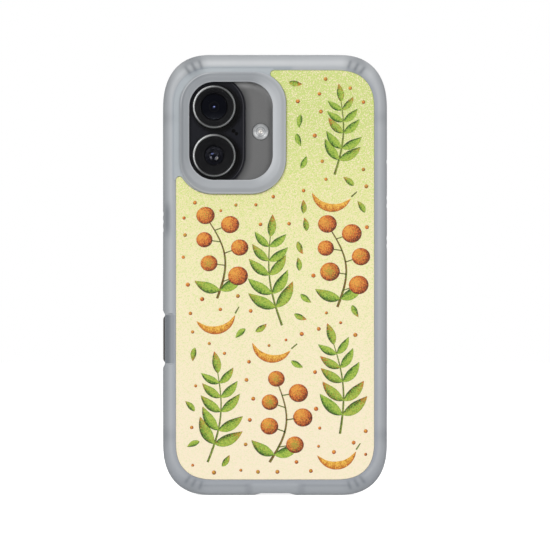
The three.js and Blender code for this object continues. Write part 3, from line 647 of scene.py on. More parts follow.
def shell_see_through_and_shade(f):
    """Dark things behind the shell show through: the camera island, cushion pockets, keys and sound slots.
    Painted shade darkens the guard's top and left, the rail's outer edge and the scoop.
    """
    guard = f.outside(GUARD_WALL)
    on_guard = guard.fade(0.2, -0.2) * f.y.fade(-4.6, -5.4)
    back_half = f.y.fade(4.5, 2.0)
    left, right = f.x.fade(-33.0, -36.0), f.x.fade(33.0, 36.0)
    side_key = left * f.z.band(92.0, 102.0, 3.0) * f.x.band(-38.6, -36.6, 0.8)
    scoop = f.x.fade(-38.75, -38.25) * f.x.fade(-34.4, -37.6) * f.z.band(STRIP_Z - 8.5, STRIP_Z + 8.5, 0.2)
    across = abs(f.x)
    masks = [
        # The island seen through the guard, with painted shade that is stronger on the guard's upper and
        # left side.
        on_guard * f.x.fade(3.0, -9.0) * (f.z.fade(106, 120) * 0.28 + 0.2),
        on_guard * guard.fade(-2.4, -0.9) * f.x.fade(-4.0, 1.0) * 0.08,
        # Painted shade along the rail's outer edge, stronger on the left.
        f.outside(CASE_OUTLINE).fade(-3.0, -1.2) * f.z.fade(3, 22) * (f.x.fade(30, -30) * 0.1 + 0.11),
        side_key * back_half * 0.42,
        # Painted shade in the scoop, darker towards its outer side.
        scoop * back_half * 0.68,
        right * f.y.fade(2.0, -2.0) * 0.05,
        left.max(right) * f.z.band(131.0, 134.0, 2.5) * 0.17,
        left.max(right) * f.z.band(19.0, 23.0, 2.5) * 0.17,
        across.band(9.5, 25.5, 1.4) * f.z.band(3.0, 4.0, 0.5) * 0.24,
        across.band(8.0, 10.5, 1.0) * f.z.band(0.6, 4.2, 0.6) * 0.2,
    ]
    for side_x in (-1, 1):
        for side_z in (-1, 1):
            masks += [pocket_mark(f, side_x, side_z, degrees) * 0.4 for degrees in POCKET_ANGLES]
            x, z = pocket_place(side_x, side_z, POCKET_ANGLES[1])[:2]
            masks.append(f.off(x, z, 4).fade(2.0, -2.5) * (0.26 + 0.1 * side_z))
    return sum(masks[1:], masks[0]).min(0.85)


def pocket_place(side_x, side_z, degrees):
    """Where a cushion pocket of a corner lies, and which way it points."""
    angle = math.radians(degrees)
    cosine = side_x * softened(math.cos(angle), PHONE_OUTLINE["power"])
    sine = side_z * softened(math.sin(angle), PHONE_OUTLINE["power"])
    half = PHONE_HEIGHT / 2
    x = side_x * (PHONE_HALF_WIDTH - PHONE_CORNER) + POCKET_REACH * cosine
    z = PHONE_LOW_Z + half + side_z * (half - PHONE_CORNER) + POCKET_REACH * sine
    length = math.hypot(cosine, sine)
    return x, z, cosine / length, sine / length


def pocket_mark(f, side_x, side_z, degrees):
    """A short soft bar that points out of a corner, where a cushion pocket lies inside."""
    x, z, across, up = pocket_place(side_x, side_z, degrees)
    dx, dz = f.x - x, f.z - z
    return (dx * across + dz * up).band(-1.9, 1.1, 0.9) * (dz * across - dx * up).band(-0.45, 0.45, 0.65)


def shell_edges(f):
    """The bluish line where the shell meets the print, round the panel and round the guard."""
    rail, guard = f.outside(PANEL_EDGE), f.outside(GUARD_OUTER)
    rail_line = rail.band(0.1, 1.3, 0.4) * f.y.fade(-3.8, -4.2) * guard.fade(0.4, 2.4)
    rail_line = rail_line * (f.x.fade(30.0, 33.0) * 0.8 + 1.0) * f.z.fade(1.0, 9.0)
    guard_line = guard.band(-0.5, 0.2, 0.3) * f.x.fade(-30.0, -8.0) * 0.5
    return rail_line.max(guard_line) * 0.14


def web_area(f):
    """1 on the web between the camera guard and the rail, and on the slope that leads to it."""
    corner = f.x.fade(7.0, 5.0) * f.z.fade(109.0, 113.0)
    return f.outside(GUARD_WALL).fade(-0.1, 0.3) * f.outside(PANEL_EDGE).fade(1.8, 0.6) * corner


def guard_painted_highlights(f):
    """Painted highlights on the guard: its lips, its inner rim, its upper left outer edge and the inner side
    of its right-hand wall; at the foot of the lower lip the painted light also lifts the shade.
    """
    inner, outer = f.outside(GUARD_INNER), f.outside(GUARD_WALL)
    right = inner.fade(2.6, 0.2) * f.x.fade(-9.0, -1.5) * 0.8
    rim = inner.fade(0.55, 0.1) * 0.6
    lip = outer.fade(-0.9, -0.2) * (f.z.fade(118, 108) * 0.6 + 0.5)
    corner = outer.band(-0.55, -0.2, 0.2) * f.x.fade(-16, -26) * f.z.fade(131, 140) * 1.6
    return right.max(rim).max(lip.max(corner)) * f.y.fade(-4.6, -5.4) * outer.fade(0.1, 0.0)


def print_finish():
    """Printed paper-like ground: green above, cream below, with a coloured grain."""
    f = Finish("print_ground", specular_ior_level=0.2)
    ground = f.ramp(f.z.fade(0, 155), [
        (0.05, srgb(243, 230, 201)),
        (0.3, srgb(240, 229, 190)),
        (0.5, srgb(236, 229, 180)),
        (0.68, srgb(229, 224, 164)),
        (0.82, srgb(217, 219, 146)),
        (0.95, srgb(198, 208, 126)),
    ])
    grain = f.noise(0.4, 1.5, 0.7)
    second = f.noise(0.44, 1.5, 0.7, shift=31.0)
    base = f.mix(
        ground,
        (grain.fade(0.46, 0.64) * (f.z.fade(-30, 150) * 0.68 + 0.12), srgb(190, 214, 108)),
        (second.fade(0.48, 0.66) * 0.75, srgb(249, 228, 203)),
    )
    return f.finished(base, (0.42, 0.58, f.noise(3.0)), (grain, 0.006, 0.5))


def ink_finish(name, light, middle, dark, accent):
    """Stippled ink: the paint attribute's red is shade, green leans towards the accent."""
    f = Finish(name, specular_ior_level=0.2)
    paint = added(f.tree, "Attribute", {}, attribute_name="paint").outputs["Color"]
    shade, lean = map(Field, added(f.tree, "SeparateColor", {"Color": paint}).outputs[:2])
    grain = f.noise(0.34, 1.5, 0.7)
    tone = shade + (grain - 0.5) * 1.9
    lean_tone = lean + (f.noise(0.4, 1.5, 0.7, shift=17.0) - 0.5) * 2.2
    colour = f.mix(
        f.ramp(tone, [(0.05, dark), (0.42, middle), (0.85, light)]),
        (lean_tone.fade(0.35, 0.7), accent),
        (tone.fade(0.12, -0.1), dark),
    )
    return f.finished(colour, (0.42, 0.58, f.noise(3.0)), (grain, 0.006, 0.5))


def speckled(name, light, dark, size, roughness, metallic=0.0, depth=0.01, stretch=(1, 1, 1), shine=0.5):
    """A finish with two close colours in a fine grain, and a roughness that follows it."""
    f = Finish(name, metallic=metallic, specular_ior_level=shine)
    grain = f.noise(size, 3.0, 0.6, stretch)
    rough = (roughness * 0.8, min(1.0, roughness * 1.25), f.noise(size * 6))
    return f.finished(f.mix(light, (grain, dark)), rough, (grain, depth, 0.6))


def clouded(name, first, second, size, low, high, bump=0.004, **values):
    """A smooth finish with two close colours in soft clouds."""
    f = Finish(name, **values)
    cloud = f.noise(size)
    return f.finished(f.mix(first, (cloud, second)), (low, high, cloud), bump and (cloud, bump, 0.2))


def rear_glass_finish():
    """Matt grey glass with a fine sparkle of grain, a painted shadow beside the camera island, and painted
    light that lifts the shade under the guard's top edge and next to the island's top.
    """
    f = Finish("rear_glass", specular_ior_level=0.25)
    grain = f.noise(0.22, 2.0, 0.7)
    island = f.outside(ISLAND)
    base = f.mix(
        grey(104),
        (grain, grey(85)),
        # Painted light under the guard's top edge, against its shadow.
        (f.outside(GUARD_INNER).fade(-2.8, 0.0) * f.z.fade(134, 142) * 0.6, grey(158)),
        # Painted light next to the island's top, against the shade there.
        (island.fade(4.5, 1.0) * f.z.fade(142.3, 144.8) * 0.5, grey(170)),
        # Painted shadow of the camera island.
        (island.fade(3.2, -0.4) * f.z.fade(147, 141) * 0.75, srgb(40, 40, 42)),
    )
    return f.finished(base, (0.4, 0.5, f.noise(5.0)), (grain, 0.004, 0.4))


def screen_finish():
    """Black front glass: the display area is a shade lighter than its border."""
    f = Finish("screen_glass", specular_ior_level=0.5, coat_weight=0.4, coat_roughness=0.02)
    display = f.outside(grown(PHONE_OUTLINE, -2.1)).fade(0.05, -0.05)
    sensors = f.outside(rounded(0.0, PHONE_LOW_Z + 138.7, 10.4, 2.95))
    smear = f.noise(26.0, 4.0, 0.6, (1, 1, 0.5))
    base = f.mix(
        (0.0015, 0.0015, 0.002),
        (display * sensors.fade(-0.05, 0.05), (0.010, 0.011, 0.013)),
        (smear * 0.25, (0.02, 0.021, 0.024)),
    )
    return f.finished(base, (0.04, 0.11, smear), (f.noise(40.0, 1.0), 0.01, 0.2))


def island_finish():
    """Polished black glass, with painted shade in the microphone holes, a painted shadow to the lower right
    of each lens ring and a painted highlight on the bevel of its right-hand edge.
    """
    f = Finish("island_glass", specular_ior_level=0.22)
    cloud = f.noise(2.0, 3.0, 0.6)
    pitch = (0.0008, 0.0008, 0.001)
    # Painted shade in the microphone holes.
    holes = [(f.off(x, z, radius).fade(0.35, 0.0), pitch) for x, z, radius in MIC_HOLES]
    # Painted shadows of the lens rings, set off towards the lower right.
    rings = [f.off(ISLAND_X + 1.0, z - 0.7, LENS_RING_RADIUS) for z in LENSES.values()]
    ring_shadows = [(ring.fade(2.2, -0.2), pitch) for ring in rings]
    # A painted highlight along the bevel on the island's right-hand side.
    painted_bevel_highlight = f.outside(ISLAND).band(-0.85, -0.6, 0.12) * f.x.fade(ISLAND_X + 3, ISLAND_X + 8) * 0.6
    base = f.mix(
        (0.012, 0.0124, 0.0165), (cloud, (0.009, 0.0096, 0.013)), *holes, *ring_shadows,
        (painted_bevel_highlight, srgb(78, 78, 82)),
    )
    return f.finished(base, (0.11, 0.17, f.noise(12.0)), (cloud, 0.002, 0.6))


def lens_ring_finish():
    """Turned metal with a painted highlight towards the upper left of each ring."""
    f = Finish("lens_metal", metallic=1.0)
    grain = f.noise(0.08, 2.0, 0.6)
    middle = f.z.math("GREATER_THAN", ISLAND_Z) * (LENSES["upper"] - LENSES["lower"]) + LENSES["lower"]
    # Painted highlight: lighter towards each ring's upper left.
    lit = ((f.x - ISLAND_X) * -0.87 + (f.z - middle) * 0.5).fade(1.0, 7.0)
    base = f.mix(srgb(80, 81, 81), (lit, srgb(142, 143, 143)), (grain * 0.4, srgb(66, 67, 68)))
    return f.finished(base, (0.26, 0.36, grain), (grain, 0.002, 0.3))


def flash_finish():
    """Pale moulded lens: bright in the middle, with faint rings."""
    f = Finish("flash_lens", specular_ior_level=0.4, coat_weight=0.2, coat_roughness=0.15)
    out = f.off(FLASH_X, FLASH_Z)
    rings = (out * 9.0).math("SINE")
    base = f.ramp(out * (1 / FLASH_RADIUS), [
        (0.0, srgb(222, 216, 211)),
        (0.2, srgb(206, 203, 200)),
        (0.36, srgb(178, 179, 180)),
        (0.6, srgb(172, 174, 175)),
        (0.8, srgb(188, 190, 191)),
        (0.97, srgb(120, 121, 122)),
    ])
    swirl = f.noise(1.3, 1.0, shift=8.0).fade(0.4, 0.6)
    base = f.mix(base, (swirl, srgb(230, 231, 232)), blend="MULTIPLY")
    for x, z in FLASH_LEDS:
        base = f.mix(base, (f.off(FLASH_X + x, FLASH_Z + z).fade(0.45, 0.1), srgb(244, 237, 226)))
    base = f.mix(base, (rings.fade(-1.0, 1.0), srgb(216, 215, 215)), blend="MULTIPLY")
    return f.finished(base, (0.15, 0.35, f.noise(0.5)), (rings, 0.01, 0.4))


def board_finish():
    """Green solder mask with paler traces."""
    f = Finish("circuit_board", specular_ior_level=0.5)
    traces = f.noise(1.6, 4.0, 0.7, (1, 1, 0.25))
    base = f.mix(srgb(21, 54, 32), (traces.fade(0.52, 0.56), srgb(45, 92, 54)))
    return f.finished(base, (0.3, 0.5, traces), (traces, 0.02, 0.5))


FINISHES = {
    "soft_shell": shell_finish(),
    "control_strip": speckled("control_strip", srgb(88, 88, 89), srgb(72, 72, 73), 0.3, 0.5, shine=0.3),
    "print": print_finish(),
    "rear_glass": rear_glass_finish(),
    "island_glass": island_finish(),
    "lens_metal": lens_ring_finish(),
    "lens_glass": clouded(
        "lens_glass", (0.004, 0.0045, 0.006), (0.006, 0.0065, 0.009), 3.0, 0.02, 0.05, None,
        alpha=0.16, specular_ior_level=0.0,
    ),
    "flash_lens": flash_finish(),
    "circuit_board": board_finish(),
    "screen_glass": screen_finish(),
}
# The other finishes: light and dark colour, grain size, roughness, metallic, depth and stretch.
SPECKLED = {
    "panel": (srgb(236, 233, 220), srgb(226, 223, 210), 1.2, 0.35),
    "frame_metal": (srgb(128, 131, 135), srgb(108, 111, 115), 0.12, 0.34, 1.0, 0.004, (1, 1, 4)),
    "black_plastic": ((0.008, 0.008, 0.009), (0.004, 0.004, 0.005), 0.25, 0.5),
    "display": ((0.006, 0.006, 0.008), (0.003, 0.003, 0.004), 1.5, 0.3),
    "gasket": (srgb(46, 46, 47), srgb(34, 34, 35), 0.4, 0.85),
    "battery_wrap": (srgb(44, 45, 49), srgb(32, 33, 36), 0.8, 0.55),
    "shield_metal": (srgb(196, 198, 200), srgb(170, 172, 174), 0.3, 0.3, 1.0, 0.01, (1, 1, 5)),
    "copper": (srgb(196, 122, 66), srgb(164, 96, 50), 0.25, 0.35, 1.0, 0.02),
    "magnet": (srgb(150, 152, 156), srgb(122, 124, 128), 0.4, 0.35, 1.0),
    "port_metal": (srgb(92, 93, 96), srgb(70, 71, 74), 0.2, 0.4, 0.8),
    "flex": (srgb(150, 98, 34), srgb(120, 76, 26), 0.5, 0.45),
    "screw_steel": (srgb(170, 171, 173), srgb(140, 141, 144), 0.15, 0.3, 1.0),
}
FINISHES.update({name: speckled(name, *facts) for name, facts in SPECKLED.items()})
# Inks: light, middle and dark colour, and the accent.
INK_COLOURS = {
    "stem": ((142, 158, 62), (96, 118, 40), (52, 48, 22), (120, 84, 34)),
    "leaf": ((170, 190, 74), (106, 150, 44), (46, 66, 22), (188, 108, 40)),
    "pod": ((240, 196, 84), (214, 146, 40), (104, 62, 18), (184, 92, 32)),
    "fruit": ((226, 156, 62), (196, 92, 36), (84, 36, 18), (160, 150, 50)),
}
INKS = {
    name: ink_finish(f"{name}_ink", *(srgb(*colour) for colour in colours))
    for name, colours in INK_COLOURS.items()
}
LENS_COATS = {
    place: clouded(
        name, (0.0045, 0.0048, 0.007), (0.006, 0.0066, 0.0105), size, 0.03, 0.09,
        specular_ior_level=shine, specular_tint=tint,
    )
    for place, name, tint, size, shine in (
        ("upper", "lens_coat_blue", (0.8, 0.86, 1.0), 3.0, 0.12),
        ("lower", "lens_coat_violet", (0.86, 0.86, 1.0), 3.4, 0.26),
    )
}
PUPIL_COATS = {
    name: clouded(f"pupil_coat_{name}", first, second, 1.0, 0.08, 0.12, metallic=1.0)
    for name, first, second in (
        ("blue", (0.07, 0.09, 0.20), (0.10, 0.12, 0.26)),
        ("warm", (0.13, 0.126, 0.118), (0.17, 0.165, 0.155)),
    )
}
LENS_BLACK = speckled("lens_black", (0.0035, 0.0035, 0.004), (0.002, 0.002, 0.0025), 0.3, 0.45, shine=0.08)


def stands_for(piece, slot, *nodes, body="handset", finish=None):
    """The piece rides on the body, replaces the nodes and has the slot's finish or its own."""
    piece.data.materials.clear()
    piece.data.materials.append(finish or FINISHES[slot])
    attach(piece, body)
    if nodes:
        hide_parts(*nodes)


# ---------------------------------------------------------------- the soft shell

def stations(low, high, coarse, fine, zones):
    """Fractions of the way from low to high, close together in the zones."""
    places = []
    place = low
    while place < high - coarse:
        dense = any(start - coarse <= place <= end for start, end in zones)
        place += fine if dense else coarse
        places.append(place)
    return [(place - low) / (high - low) for place in places if place < high - fine / 2]


def rail_straights():
    """Extra points along each straight of the rail, dense at the dents and slants."""
    low = CASE_OUTLINE["low"] + CASE_OUTLINE["corner_low"]
    high = CASE_OUTLINE["high"] - CASE_OUTLINE["corner_high"]
    zones = {-1: [], 1: []}
    for _, _, side, z, _, dents in BUTTONS.values():
        zones[side] += [(z + dent - 1.1, z + dent + 1.1) for dent in dents]
    for sign in (-1, 1):
        middle = STRIP_Z + sign * (SCOOP_HALF + SCOOP_SLANT / 2)
        zones[-1].append((middle - SCOOP_SLANT, middle + SCOOP_SLANT))
    left, right = (stations(low, high, 1.6, 0.16, zones[side]) for side in (-1, 1))
    half = CASE_OUTLINE["right"] - CASE_OUTLINE["corner_x"]
    middle = RECESS_HALF + RECESS_SLANT / 2
    slants = [(sign * middle - 2.2, sign * middle + 2.2) for sign in (-1, 1)]
    end = stations(-half, half, 1.6, 0.2, slants)
    return end, [1 - fraction for fraction in reversed(left)], end, right


def shaped(x, y, z):
    """A point of the rail after the finger dents, the scoop and the port recess."""
    side = math.copysign(1, x)
    reach = abs(x)
    for _, _, button_side, middle, _, dents in BUTTONS.values():
        for dent in dents:
            off = abs(z - middle - dent)
            if button_side == side and off < DENT_RADIUS:
                reach = min(reach, DENT_CENTRE - math.sqrt(DENT_RADIUS ** 2 - off ** 2))
    off = abs(z - STRIP_Z)
    if side < 0 and off < SCOOP_HALF + SCOOP_SLANT:
        part = max(0.0, off - SCOOP_HALF) / SCOOP_SLANT
        reach = min(reach, CASE_HALF_WIDTH - SCOOP_DEPTH * (1 - part))
    x = side * reach
    if x < SCOOP_INNER_X and y < 0 and off < SCOOP_HALF + SCOOP_EASE:
        ease_x = min(1.0, (SCOOP_INNER_X - x) / SCOOP_EASE)
        ease_z = min(1.0, (SCOOP_HALF + SCOOP_EASE - off) / SCOOP_EASE)
        y = max(y, y + (SCOOP_BACK_Y - y) * ease_x * ease_z)
    part = min(1.0, max(0.0, (RECESS_HALF + RECESS_SLANT - abs(x)) / RECESS_SLANT))
    return x, y, max(z, RECESS_DEPTH * part * part * (3 - 2 * part))


def rail_band():
    """The rail all round the phone, from the back edge over the outside to the screen rim."""
    pocket_wall = grown(PHONE_OUTLINE, FIT_GAP)
    rim_edge = grown(PHONE_OUTLINE, -RIM_OVERLAP)
    section = [(PANEL_EDGE, *point) for point in smooth_run(RAIL_BACK, (0, -1.6), (1.1, -4.0))]
    section += [
        (PANEL_EDGE, 1, -4.15),
        (PANEL_EDGE, 1, PHONE_BACK_Y),
        (pocket_wall, 1, PHONE_BACK_Y),
        (pocket_wall, 1, PHONE_FRONT_Y),
        (rim_edge, 1, PHONE_FRONT_Y),
    ]
    section += [(rim_edge, *point) for point in smooth_run(RAIL_RIM, (1, 5.9), (0, 4.0))]
    section += [(rim_edge, 0, y) for y in (4.2, 1.35, -1.2)]
    straights = rail_straights()
    points, faces = skin([
        placed(soft_outline(blended(CASE_OUTLINE, towards, fraction), straights), y)
        for towards, fraction, y in section
    ], closed=True)
    return [shaped(*point) for point in points], faces


def guard_band():
    """The raised camera guard, with a low flange beside its left wall."""
    section = [(GUARD_OUTER, PHONE_BACK_Y), (GUARD_OUTER, WEB_BACK_Y), (GUARD_WALL, WEB_BACK_Y - 0.05)]
    for fraction, y in smooth_run(GUARD_CREST, (0, -5.8), (1, -6.4)):
        section.append((blended(GUARD_WALL, GUARD_INNER, fraction), y))
    section.append((GUARD_INNER, PHONE_BACK_Y))
    return skin([placed(round_outline(shape), y) for shape, y in section], closed=True)


def shell():
    """The rail, the web and the camera guard in one piece, with all its openings."""
    piece = made("shell", *rail_band())
    carve(piece, made("web", *bar(web_outline(), WEB_BACK_Y, PHONE_BACK_Y)), "UNION")
    carve(piece, made("guard", *guard_band()), "UNION")
    cut(piece, round_outline(grown(ISLAND, FIT_GAP)), ISLAND_BACK_Y - FIT_GAP, PHONE_FRONT_Y)
    controls = [(side, z, half, COVER_HALF_DEPTH) for _, _, side, z, half, _ in BUTTONS.values()]
    controls.append((-1, STRIP_Z, STRIP_HALF, STRIP_HALF_DEPTH))
    for side, z, half, half_depth in controls:
        slot = rounded(CONTROL_Y, z, half_depth + FIT_GAP, half + FIT_GAP, 1.1)
        reach = sorted((side * (PHONE_HALF_WIDTH - 0.5), side * (CASE_HALF_WIDTH + 5)))
        cut(piece, round_outline(slot), *reach, "x")
    openings = [rounded(0, CONTROL_Y, PORT_HALF_WIDTH, PORT_HALF_DEPTH)]
    openings += [rounded(side * SOUND_MIDDLE, CONTROL_Y, SOUND_HALF, SOUND_HALF_DEPTH) for side in (-1, 1)]
    for opening in openings:
        cut(piece, round_outline(opening), -5, PHONE_LOW_Z + 0.5, "z")
    tidy_mesh(piece, 34)
    stands_for(piece, "soft_shell", "bumper_frame")


def button_cover(name, node, body, side, z, half, dents):
    """A pad with round ends and softened edges, dented for the finger."""
    soft = 0.35
    levels = [(0.0, COVER_INNER_X)]
    levels += [(soft * inset, CASE_HALF_WIDTH - soft + soft * rise) for inset, rise in quarter_round(4)]
    rows = []
    for inset, x in levels:
        shape = rounded(CONTROL_Y, z, COVER_HALF_DEPTH - inset, half - inset, 0.9)
        rows.append(placed(round_outline(shape), side * x, "x"))
    piece = made(name, *skin(rows))
    for dent in dents:
        cut(piece, circle((side * DENT_CENTRE, z + dent), DENT_RADIUS), -9, 12)
    tidy_mesh(piece, 30)
    stands_for(piece, "soft_shell", node, body=body)


def control_strip():
    """The dark strip over the camera control, with slanted ends and soft edges."""
    rows = []
    for inset, slant, depth in [(0, 0, CASE_HALF_WIDTH - COVER_INNER_X), *STRIP_LEVELS]:
        shape = rounded(CONTROL_Y, STRIP_Z, STRIP_HALF_DEPTH - inset, STRIP_HALF - slant, 0.8)
        rows.append(placed(round_outline(shape), depth - CASE_HALF_WIDTH, "x"))
    piece = made("camera_control_strip", *skin(rows))
    stands_for(piece, "control_strip", "camera_control_cover", body="camera_control")


def back_panel():
    """The rigid plate and, on it, the printed film with a softened edge."""
    plate = [(0, PHONE_BACK_Y), (0, PANEL_BACK_Y)]
    film = [
        (0, PANEL_BACK_Y), (0, FILM_BACK_Y + FILM_EDGE), (FILM_EDGE * 0.3, FILM_BACK_Y + FILM_EDGE * 0.3),
        (FILM_EDGE, FILM_BACK_Y), (FILM_EDGE * 2, FILM_BACK_Y),
    ]
    for name, levels, slot, node in (
        ("back_panel", plate, "panel", "back_plate"),
        ("printed_film", film, "print", "print_film"),
    ):
        piece = made(name, *skin([placed(panel_outline(PANEL_GAP + inset), y) for inset, y in levels]))
        stands_for(piece, slot, node)


# ---------------------------------------------------------------- the printed motifs

RANDOM_SEED = 11
STEM_STEPS = 20
# Where the motifs stand: place, lean and length.
SPRIGS = [(-22.0, 28.0, -0.1, 33), (0.5, 76.0, 0.12, 33), (21.5, 38.0, 0.08, 33), (22.0, 126.0, -0.08, 27)]
BERRIES = [(-22.0, 83.0, 0.12, 28), (-0.5, 25.5, -0.1, 28), (20.5, 80.0, 0.1, 28)]
PODS = [(-21.0, 63.5, 0.15), (-1.0, 53.5, -0.2), (21.5, 16.0, 0.1), (20.0, 106.5, -0.15)]
PAIRS, FRUITS, POD_SIZE = 5, 6, 14
SCATTER_TRIES, SCATTER_SPACING = 1500, 5.6
LEAF_ROOM, SEED_ROOM = 3.9, 2.2


class Sheet:
    """Collects the flat shapes of one ink, each with its paint at every point."""

    def __init__(self, name, lift):
        self.name = name
        self.lift = lift
        self.points = []
        self.paints = []
        self.faces = []

    def grid(self, rows):
        """Adds a grid of (x, z, shade, lean) points, row by row."""
        start = len(self.points)
        width = len(rows[0])
        for row in rows:
            for x, z, shade, lean in row:
                self.points.append((x, FILM_BACK_Y, z))
                self.paints.append((shade, lean, 0.0, 1.0))
        for r in range(len(rows) - 1):
            for c in range(width - 1):
                first = start + r * width + c
                self.faces.append((first, first + 1, first + width + 1, first + width))

    def finish(self, material):
        """Makes the ink layer: a closed sheet a few hundredths of a millimetre thick."""
        mesh = new_mesh(self.name, self.points, self.faces)
        layer = mesh.color_attributes.new("paint", "FLOAT_COLOR", "POINT")
        for datum, value in zip(layer.data, self.paints):
            datum.color = value
        work = bmesh.new()
        work.from_mesh(mesh)
        bmesh.ops.remove_doubles(work, verts=work.verts, dist=2e-6)
        bmesh.ops.dissolve_degenerate(work, edges=work.edges, dist=1e-6)
        for item in bmesh.ops.extrude_face_region(work, geom=work.faces[:])["geom"]:
            if isinstance(item, bmesh.types.BMVert):
                item.co.y -= self.lift * MM
        bmesh.ops.recalc_face_normals(work, faces=work.faces)
        work.to_mesh(mesh)
        work.free()
        stands_for(linked(self.name, mesh), "print", finish=material)


def turned(point, angle, centre=(0.0, 0.0)):
    """The point turned by the angle and moved to the centre."""
    cosine, sine = math.cos(angle), math.sin(angle)
    return centre[0] + point[0] * cosine - point[1] * sine, centre[1] + point[0] * sine + point[1] * cosine


def leaf(sheet, base, angle, length, width, bend=0.15, lean=0.2):
    """A pointed leaf with a curved midrib: paler along the rib, darker at one margin."""
    rows = []
    steps = 14
    for step in range(steps + 1):
        t = step / steps
        half = width / 2 * (math.sin(math.pi * t ** 0.85) ** 0.9 + 0.02)
        turn = angle + bend * (t - 0.5) * 2
        centre = turned((length * t, 0), angle + bend * (t - 1), base)
        row = []
        for across in (-1, -0.82, -0.45, -0.12, 0, 0.12, 0.45, 0.82, 1):
            shade = 0.62 - 0.38 * across - 0.55 * abs(across) ** 4 + 0.15 * (abs(across) < 0.1)
            tip = max(0.0, t - 0.55) * 1.1
            row.append((*turned((0, half * across), turn, centre), shade, lean * 0.5 + tip * lean * 2))
        rows.append(row)
    sheet.grid(rows)


def disc_ink(sheet, centre, radius, squash=1.0, angle=0.0, lean=0.2, light=(-0.45, 0.5)):
    """A round fruit: lit from the upper left, dark round its lower right edge."""
    rings, sectors = 7, 40
    rows = []
    for sector in range(sectors + 1):
        turn = 2 * math.pi * sector / sectors
        row = []
        for ring in range(rings + 1):
            part = (ring / rings) ** 0.8
            x, z = part * math.cos(turn), part * math.sin(turn) * squash
            glow = 1 - math.dist((x, z), light) / 1.6
            shade = 0.15 + 0.85 * glow - 0.35 * part ** 6
            row.append((*turned((radius * x, radius * z), angle, centre), shade, lean * (1 - part) + 0.1))
        rows.append(row)
    sheet.grid(rows)


def strip_ink(sheet, line, widths, shade=0.5, lean=0.2):
    """A stroke of changing width along a line of points."""
    rows = []
    for index, (x, z) in enumerate(line):
        before, after = line[max(0, index - 1)], line[min(len(line) - 1, index + 1)]
        dx, dz = after[0] - before[0], after[1] - before[1]
        length = math.hypot(dx, dz) or 1.0
        half = between(*widths, index / (len(line) - 1)) / length
        rows.append([
            (x - dz * half * side, z + dx * half * side, shade - 0.3 * side, lean) for side in (-1, 0, 1)
        ])
    sheet.grid(rows)


def bowed(bend, size, angle, centre):
    """A bowed line of points with that length."""
    parts = [step / STEM_STEPS for step in range(STEM_STEPS + 1)]
    return [turned((bend * math.sin(math.pi * t), size * (t - 0.5)), angle, centre) for t in parts]


def sprig(inks, centre, angle, size, chance):
    """A curved stem with leaves in pairs and one at its end."""
    bend = size * chance.uniform(0.07, 0.11) * chance.choice((-1, 1))
    line = bowed(bend, size, angle, centre)
    strip_ink(inks["stem"], line, (0.42, 0.16))
    for index in range(PAIRS):
        t = 0.2 + 0.66 * index / (PAIRS - 1)
        place = round(t * STEM_STEPS)
        way = heading(line[place], line[place + 1])
        length = size * (0.36 - 0.16 * t)
        for side in (-1, 1):
            turn = way + side * chance.uniform(0.75, 0.95)
            lean = chance.uniform(0.0, 0.5)
            leaf(inks["leaf"], line[place], turn, length, length * 0.36, -side * 0.25, lean)
    leaf(inks["leaf"], line[-2], heading(*line[-2:]), size * 0.24, size * 0.09, 0.1, 0.5)


def berry_branch(inks, centre, angle, size, chance):
    """Round fruits on short stalks along a bowed branch."""
    line = bowed(size * 0.16, size, angle, centre)
    strip_ink(inks["stem"], line, (0.45, 0.2), 0.35, 0.6)
    for index in range(FRUITS):
        t = 0.22 + 0.78 * index / (FRUITS - 1)
        side = -1 if index % 2 else 1
        point = line[round(t * STEM_STEPS)]
        reach = size * (0.2 if index < FRUITS - 1 else 0.02)
        spot = turned((side * reach, size * 0.05), angle, point)
        strip_ink(inks["stem"], [point, between(point, spot, 0.5), spot], (0.2, 0.2), 0.35)
        radius = size * chance.uniform(0.1, 0.125)
        disc_ink(inks["fruit"], spot, radius, 0.94, angle, chance.uniform(0.1, 0.7))
    for side, lean in ((1, 0.3), (-1, 0.1)):
        turn = angle + QUARTER + side * 1.1
        leaf(inks["leaf"], line[2], turn, size * 0.34, size * 0.13, -side * 0.3, lean)


def seed_pod(inks, centre, angle, size):
    """A golden crescent pod with dark seams and a short stalk."""
    rows = []
    steps = 30
    for step in range(steps + 1):
        t = step / steps
        sweep = math.pi * (0.06 + 0.88 * t) + math.pi
        thick = size * 0.2 * math.sin(math.pi * t) ** 0.7 + 0.02
        seam = 0.5 + 0.5 * math.cos(2 * math.pi * t * 6)
        row = []
        for across in (0, 0.1, 0.3, 0.5, 0.7, 0.9, 1):
            radius = size * 0.5 - thick * (1 - across)
            shade = 0.75 - 0.6 * abs(across - 0.35) ** 1.4 - 0.3 * (across == 1) - 0.28 * (1 - seam) ** 3
            row.append((*turned((radius, 0), angle + sweep, centre), shade, 0.15 + 0.5 * across))
        rows.append(row)
    inks["pod"].grid(rows)
    stalk = [turned(end, angle, centre) for end in ((size * 0.5, -size * 0.05), (size * 0.62, size * 0.1))]
    strip_ink(inks["stem"], stalk, (0.3, 0.2), 0.4)


